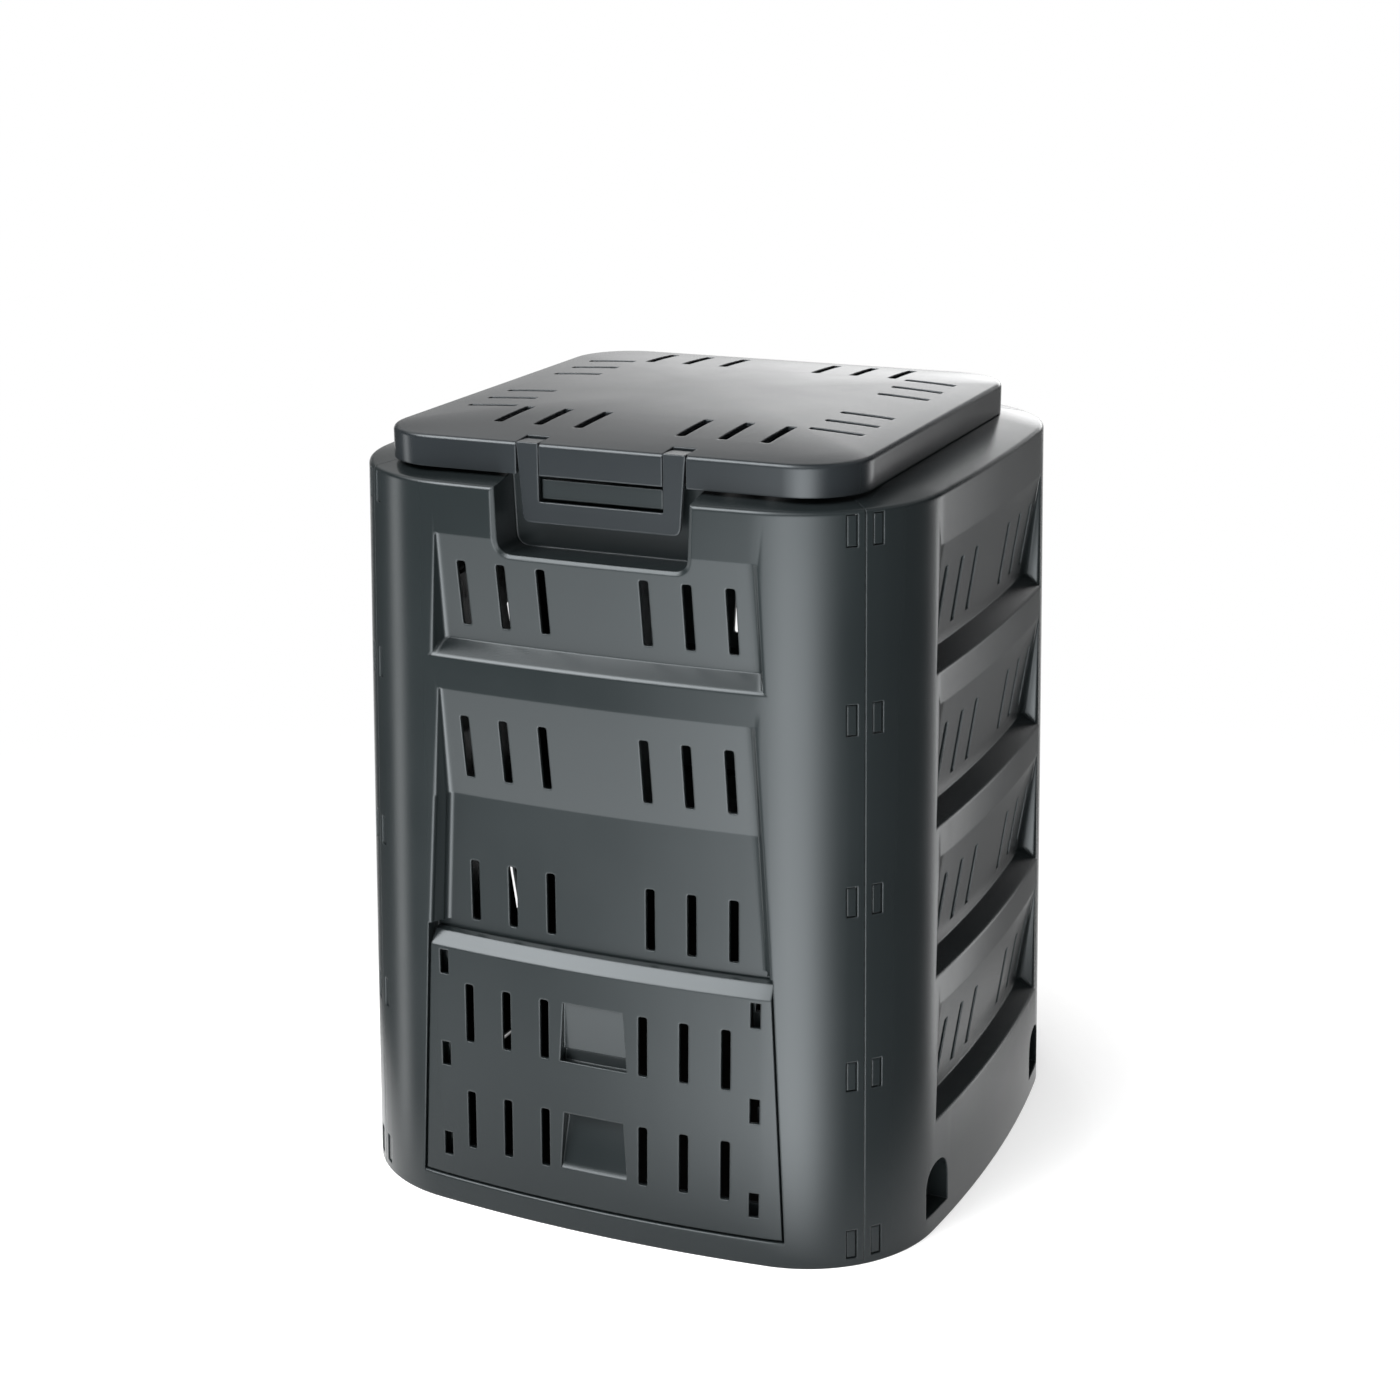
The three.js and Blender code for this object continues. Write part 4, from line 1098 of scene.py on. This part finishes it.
def moulded_polypropylene(name, colour, roughness, edge_radius):
    """Injection-moulded polypropylene with a spark-eroded grain.

    The eye sees a satin, slightly cool dark grey: broad soft highlights, a fine grain, edges lightened as
    scuffs and painted highlight, and faint flow clouds. The real 0.3 mm grain is drawn at 2 mm so that it
    shows.
    """
    material = empty_material(name)
    tree = material.node_tree
    place = add_node(tree, "TexCoord").outputs["Object"]
    grain, clouds, scuffs = [
        add_node(
            tree, "TexNoise",
            {"Scale": per_metre(spacing), "Detail": detail, "Roughness": raggedness}, {"Vector": place},
        )
        for spacing, detail, raggedness in ((2, 3.0, 0.6), (220, 4.0, 0.5), (14, 6.0, 0.7))
    ]
    rounded = add_node(tree, "Bevel", {"samples": 6, "Radius": edge_radius})
    normal = add_node(tree, "NewGeometry").outputs["Normal"]
    turn = add_node(tree, "VectorMath", {"operation": "DOT_PRODUCT"}, {0: rounded, 1: normal})
    # Edges, found where the rounded normal turns away, are lightened in patches: partly scuffs, partly a
    # painted highlight
    worn_and_highlit_edge = add_node(
        tree, "MapRange", {"From Min": 0.995, "From Max": 0.8}, {"Value": turn.outputs["Value"]}
    )
    patchy = add_node(
        tree, "MapRange", {"From Min": 0.35, "From Max": 0.7, "To Min": 0.25}, {"Value": scuffs}
    )
    edge = add_node(tree, "Math", {"operation": "MULTIPLY"}, {0: worn_and_highlit_edge, 1: patchy})
    base = linear(colour)[:3]
    dark, light = [(*[c * shade for c in base], 1) for shade in FLOW_SHADES]
    scuffed_and_highlit = (*[min(1, c * WEAR_AND_HIGHLIGHT_GAIN + WEAR_AND_HIGHLIGHT_OFFSET) for c in base], 1)
    flow = add_node(tree, "Mix", {"data_type": "RGBA", 6: dark, 7: light}, {"Factor": clouds})
    skin = add_node(tree, "Mix", {"data_type": "RGBA", 7: scuffed_and_highlit}, {"Factor": edge, 6: flow.outputs[2]})
    gloss = add_node(
        tree, "MapRange",
        {
            "From Min": 0.3, "From Max": 0.7,
            "To Min": roughness - GLOSS_SPREAD, "To Max": roughness + GLOSS_SPREAD,
        },
        {"Value": clouds},
    )
    bump = add_node(
        tree, "Bump", {"Strength": 0.12, "Distance": 0.0004}, {"Height": grain, "Normal": rounded}
    )
    surface = add_node(
        tree, "BsdfPrincipled",
        {"IOR": 1.5, "Specular IOR Level": 0.28, "Specular Tint": linear(SHEEN_TINT)},
        {"Base Color": skin.outputs[2], "Roughness": gloss, "Normal": bump},
    )
    add_node(tree, "OutputMaterial", None, {"Surface": surface})
    return material


def drawn_steel(colour):
    """Drawn steel rod: a grey metal with fine lengthwise die lines and soft, stretched highlights."""
    material = empty_material("drawn_steel")
    tree = material.node_tree
    place = add_node(tree, "TexCoord").outputs["Object"]
    stretch = add_node(tree, "Mapping", {"Scale": (0.04, 1, 1)}, {"Vector": place})
    lines = add_node(tree, "TexNoise", {"Scale": per_metre(0.5), "Detail": 2.0}, {"Vector": stretch})
    gloss = add_node(tree, "MapRange", {"To Min": 0.25, "To Max": 0.45}, {"Value": lines})
    bump = add_node(tree, "Bump", {"Strength": 0.1, "Distance": 0.0001}, {"Height": lines})
    surface = add_node(
        tree, "BsdfPrincipled", {"Base Color": linear(colour), "Metallic": 1.0},
        {"Roughness": gloss, "Normal": bump},
    )
    add_node(tree, "OutputMaterial", None, {"Surface": surface})
    return material


def finish_for(name):
    """The finish with that name, made from the scene's colours when it is first asked for."""
    if name in bpy.data.materials:
        return bpy.data.materials[name]
    finish, shape = bpy.context.scene.bin_finish, bpy.context.scene.bin_shape
    if name == "drawn_steel":
        return drawn_steel(finish.pin_colour)
    if name == "panel_polypropylene":
        return moulded_polypropylene(name, finish.body_colour, finish.body_roughness, shape.edge_radius)
    return moulded_polypropylene(name, finish.lid_colour, finish.lid_roughness, shape.edge_radius)


# Operators

class BIN_OT_wall_panels(bpy.types.Operator):
    """Builds the four moulded wall panels"""

    bl_idname = "bin.wall_panels"
    bl_label = "Wall Panels"

    def execute(self, context):
        body = Body(context.scene.bin_shape)
        material = finish_for("panel_polypropylene")
        side = louvred_wall(body)
        rim_level = (body.height - RIM_ROUNDING - CREASE_RISE) * MM
        rear = with_hinge_ears(body, copied(side))
        left = copied(side)
        panels = [(front_wall(body), "front"), (side, "right"), (rear, "rear"), (left, "left")]
        for turn, (panel, word) in enumerate(panels):
            node = f"{word}_wall"
            placed(panel, f"{word}_panel", node, "bin", material, turn, rim_level)
        return {"FINISHED"}


class BIN_OT_corner_clips(bpy.types.Operator):
    """Finishes the clips that join the panels at the corner seams"""

    bl_idname = "bin.corner_clips"
    bl_label = "Corner Clips"

    def execute(self, context):
        material = finish_for("panel_polypropylene")
        for name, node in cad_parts.items():
            if name.startswith("corner_clip"):
                node.data.materials.clear()
                node.data.materials.append(material)
        return {"FINISHED"}


class BIN_OT_emptying_door(bpy.types.Operator):
    """Builds the emptying door with its slots, finger grips and hooks"""

    bl_idname = "bin.emptying_door"
    bl_label = "Emptying Door"

    def execute(self, context):
        door = emptying_door(Body(context.scene.bin_shape))
        material = finish_for("panel_polypropylene")
        placed(door, "door_tray", "emptying_door", "door", material)
        return {"FINISHED"}


class BIN_OT_lid(bpy.types.Operator):
    """Builds the crowned lid with its slots, latch channels and hinge knuckles"""

    bl_idname = "bin.lid"
    bl_label = "Lid"

    def execute(self, context):
        placed(lid_cover(), "lid_cover", "lid", "lid", finish_for("lid_polypropylene"))
        return {"FINISHED"}


class BIN_OT_lid_latch(bpy.types.Operator):
    """Builds the swing latch"""

    bl_idname = "bin.lid_latch"
    bl_label = "Lid Latch"

    def execute(self, context):
        material = finish_for("lid_polypropylene")
        placed(swing_latch(), "latch_handle", "lid_latch", "latch", material)
        return {"FINISHED"}


class BIN_OT_pins(bpy.types.Operator):
    """Builds the steel pins of the hinge and the latch"""

    bl_idname = "bin.pins"
    bl_label = "Steel Pins"

    def execute(self, context):
        centre, half = latch_centre()
        hinge_length = HINGE_KNUCKLE + 2 * (SIDE_GAP + HINGE_EAR + HINGE_PIN_HEAD)
        latch_length = 2 * half + 2 * (CHANNEL_CLEARANCE + LATCH_EAR_WIDTH - SIDE_GAP)
        steel = finish_for("drawn_steel")
        pivot = LATCH_PIVOT_SET_BACK - LID_FRONT
        for side, word in zip(SIDES, ("left", "right")):
            x = side * HINGE_COLUMN
            hinge = rod(HINGE_PIN, hinge_length, x, HINGE_SET_BACK, HINGE_HEIGHT, PIN_CHAMFER)
            placed(hinge, f"hinge_rod_{word}", f"hinge_pin_{word}", "bin", steel)
            latch = rod(LATCH_PIN, latch_length, side * centre, pivot, LATCH_PIVOT_HEIGHT, PIN_CHAMFER)
            placed(latch, f"latch_rod_{word}", f"latch_pin_{word}", "lid", steel)
        return {"FINISHED"}


class BIN_OT_stage(bpy.types.Operator):
    """Sets up the pale floor, the studio lights and the camera"""

    bl_idname = "bin.stage"
    bl_label = "Studio Stage"

    def execute(self, context):
        scene = context.scene
        studio = scene.studio_settings
        scene.view_settings.view_transform = "Standard"
        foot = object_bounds()[0].z
        floor = pale_floor(foot / MM - FLOOR_DROP, scene.bin_shape.base_width)
        floor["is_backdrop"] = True
        pale_world(scene, studio.wall_strength)
        product_camera(scene, studio)
        return {"FINISHED"}


def pale_floor(level, width):
    """A pale painted sheet that keeps the bin's soft shadow and runs out into the white backdrop.

    The ground inside the bin is a dark patch of painted shade.
    """
    half = FLOOR_REACH[1]
    corners = [(-half, -half), (half, -half), (half, half), (-half, half)]
    floor = mesh_object([(x, y, level) for x, y in corners], [(0, 1, 2, 3)], "pale_floor")
    material = empty_material("painted_floor")
    tree = material.node_tree
    place = add_node(tree, "TexCoord").outputs["Object"]
    flat = add_node(tree, "Mapping", {"Scale": (2 / width, 2 / width, 0)}, {"Vector": place})
    apart = add_node(tree, "SeparateXYZ", None, {0: flat})
    across, along = [
        add_node(tree, "Math", {"operation": "POWER", 1: SHADE_PATCH_POWER}, {0: apart.outputs[axis]})
        for axis in ("X", "Y")
    ]
    reach = add_node(tree, "Math", {"operation": "ADD"}, {0: across, 1: along})
    outside = add_node(
        tree, "MapRange", {"From Min": SHADE_PATCH_EDGE_SHARES[0], "From Max": SHADE_PATCH_EDGE_SHARES[1]},
        {"Value": reach},
    )
    # A dark patch of painted shade fills the bin's footprint, where the inside of the bin is shaded
    painted_shade_patch = add_node(tree, "BsdfDiffuse", {"Color": linear(SHADE_PATCH_COLOUR)})
    paint = add_node(tree, "BsdfDiffuse", {"Color": linear(FLOOR_COLOUR)})
    glow = add_node(tree, "Emission", {"Color": (1, 1, 1, 1), "Strength": FLOOR_GLOW})
    lit = add_node(tree, "AddShader", None, {0: paint, 1: glow})
    path = add_node(tree, "LightPath").outputs
    mirrored = add_node(
        tree, "Math", {"operation": "ADD"},
        {0: path["Is Glossy Ray"], 1: path["Is Transmission Ray"]},
    )
    direct = add_node(
        tree, "Math", {"operation": "ADD", "use_clamp": True},
        {0: path["Is Camera Ray"], 1: mirrored},
    )
    seen = add_node(tree, "MixShader", None, {0: direct, 1: paint, 2: lit})
    mixed = add_node(tree, "MixShader", None, {0: outside, 1: painted_shade_patch, 2: seen})
    distance = add_node(tree, "VectorMath", {"operation": "LENGTH"}, {0: place})
    run_out = add_node(
        tree, "MapRange", {"From Min": FLOOR_REACH[0] * MM, "From Max": FLOOR_REACH[1] * MM},
        {"Value": distance.outputs["Value"]},
    )
    clear = add_node(tree, "BsdfTransparent")
    sheet = add_node(tree, "MixShader", None, {0: run_out, 1: mixed, 2: clear})
    add_node(tree, "OutputMaterial", None, {"Surface": sheet})
    floor.data.materials.append(material)
    return floor


def direction_ramp(tree, angle, stops, reach, peak):
    """A value for an angle in radians, from stops in degrees out to a reach on both sides, up to a peak."""
    share = add_node(
        tree, "MapRange", {"From Min": math.radians(-reach), "From Max": math.radians(reach)},
        {"Value": angle},
    )
    ramp = add_node(tree, "ValToRGB", None, {"Fac": share})
    marks = ramp.color_ramp.elements
    for i, (degrees, strength) in enumerate(stops):
        at = (degrees + reach) / (2 * reach)
        mark = marks[i] if i < 2 else marks.new(at)
        mark.position = at
        mark.color = (*[strength / peak] * 3, 1)
    return add_node(tree, "Math", {"operation": "MULTIPLY", 1: peak}, {0: ramp})


def pale_world(scene, strength):
    """Soft light from the studio's walls, which show as a white backdrop behind the bin."""
    world = bpy.data.worlds.new("studio_walls")
    world.use_nodes = True
    tree = world.node_tree
    tree.nodes.clear()
    place = add_node(tree, "TexCoord").outputs["Generated"]
    apart = add_node(tree, "SeparateXYZ", None, {0: place})
    front = add_node(tree, "Math", {"operation": "MULTIPLY", 1: -1.0}, {0: apart.outputs["Y"]})
    azimuth = add_node(tree, "Math", {"operation": "ARCTAN2"}, {0: apart.outputs["X"], 1: front})
    height = add_node(tree, "Math", {"operation": "ARCSINE"}, {0: apart.outputs["Z"]})
    low = direction_ramp(tree, azimuth, LOW_LIGHTS, 180, BRIGHTEST)
    layers = []
    for stops, fade in (
        (HIGH_LIGHTS, HIGH_FADE_SHARES),
        (TOP_LIGHTS, TOP_FADE_SHARES),
        (GROUND_LIGHTS, GROUND_FADE_SHARES),
        (BACK_LIGHTS, BACK_FADE_SHARES),
    ):
        light = direction_ramp(tree, azimuth, stops, 180, BRIGHTEST)
        share = direction_ramp(tree, height, fade, 90, 1)
        layers.append(add_node(tree, "Math", {"operation": "MULTIPLY"}, {0: light, 1: share}))
    lift = add_node(
        tree, "MapRange",
        {"From Min": math.radians(HORIZON[0]), "From Max": math.radians(HORIZON[1])}, {"Value": height},
    )
    total = add_node(tree, "Mix", {"data_type": "FLOAT"}, {"Factor": lift, "A": low, "B": layers[0]})
    for layer in layers[1:]:
        total = add_node(tree, "Math", {"operation": "ADD"}, {0: total, 1: layer})
    level = add_node(tree, "Math", {"operation": "MULTIPLY", 1: strength}, {0: total})
    walls = add_node(tree, "Background", {"Color": (1, 1, 1, 1)}, {"Strength": level})
    add_node(tree, "OutputWorld", None, {"Surface": walls})
    scene.world = world


def product_camera(scene, studio):
    """The camera of the product view, turned round its target on the bin."""
    data = bpy.data.cameras.new("product_camera")
    data.lens = studio.lens
    data.sensor_width = SENSOR_WIDTH
    data.clip_start, data.clip_end = CLIPPING
    camera = bpy.data.objects.new("product_camera", data)
    target = Vector([c * MM for c in CAMERA_TARGET])
    a, e = studio.azimuth, studio.elevation
    back = Vector((math.sin(a) * math.cos(e), -math.cos(a) * math.cos(e), math.sin(e)))
    turned = (-back).to_track_quat("-Z", "Y").to_matrix() @ Matrix.Rotation(studio.roll, 3, "Z")
    camera.location = target + back * studio.distance
    camera.rotation_euler = turned.to_euler()
    scene.collection.objects.link(camera)
    scene.camera = camera


class BIN_PT_panel(bpy.types.Panel):
    """Sidebar panel that lists the bin's pieces"""

    bl_label = "Compost Bin"
    bl_idname = "BIN_PT_panel"
    bl_space_type = "VIEW_3D"
    bl_region_type = "UI"
    bl_category = "Compost Bin"

    def draw(self, context):
        layout = self.layout
        for group in (context.scene.bin_shape, context.scene.bin_finish, context.scene.studio_settings):
            box = layout.box()
            for name in group.__annotations__:
                box.prop(group, name)
        for operator in PIECES:
            layout.operator(operator.bl_idname)


PIECES = (
    BIN_OT_wall_panels,
    BIN_OT_corner_clips,
    BIN_OT_emptying_door,
    BIN_OT_lid,
    BIN_OT_lid_latch,
    BIN_OT_pins,
    BIN_OT_stage,
)
CLASSES = (BinShape, BinFinish, StudioSettings, *PIECES, BIN_PT_panel)


def register():
    for item in CLASSES:
        bpy.utils.register_class(item)
    bpy.types.Scene.bin_shape = bpy.props.PointerProperty(type=BinShape)
    bpy.types.Scene.bin_finish = bpy.props.PointerProperty(type=BinFinish)
    bpy.types.Scene.studio_settings = bpy.props.PointerProperty(type=StudioSettings)


def unregister():
    del bpy.types.Scene.studio_settings
    del bpy.types.Scene.bin_finish
    del bpy.types.Scene.bin_shape
    for item in reversed(CLASSES):
        bpy.utils.unregister_class(item)


def main():
    """Builds every piece."""
    register()
    bpy.ops.bin.wall_panels()
    bpy.ops.bin.corner_clips()
    bpy.ops.bin.emptying_door()
    bpy.ops.bin.lid()
    bpy.ops.bin.lid_latch()
    bpy.ops.bin.pins()
    bpy.ops.bin.stage()


if __name__ == "__main__":
    main()
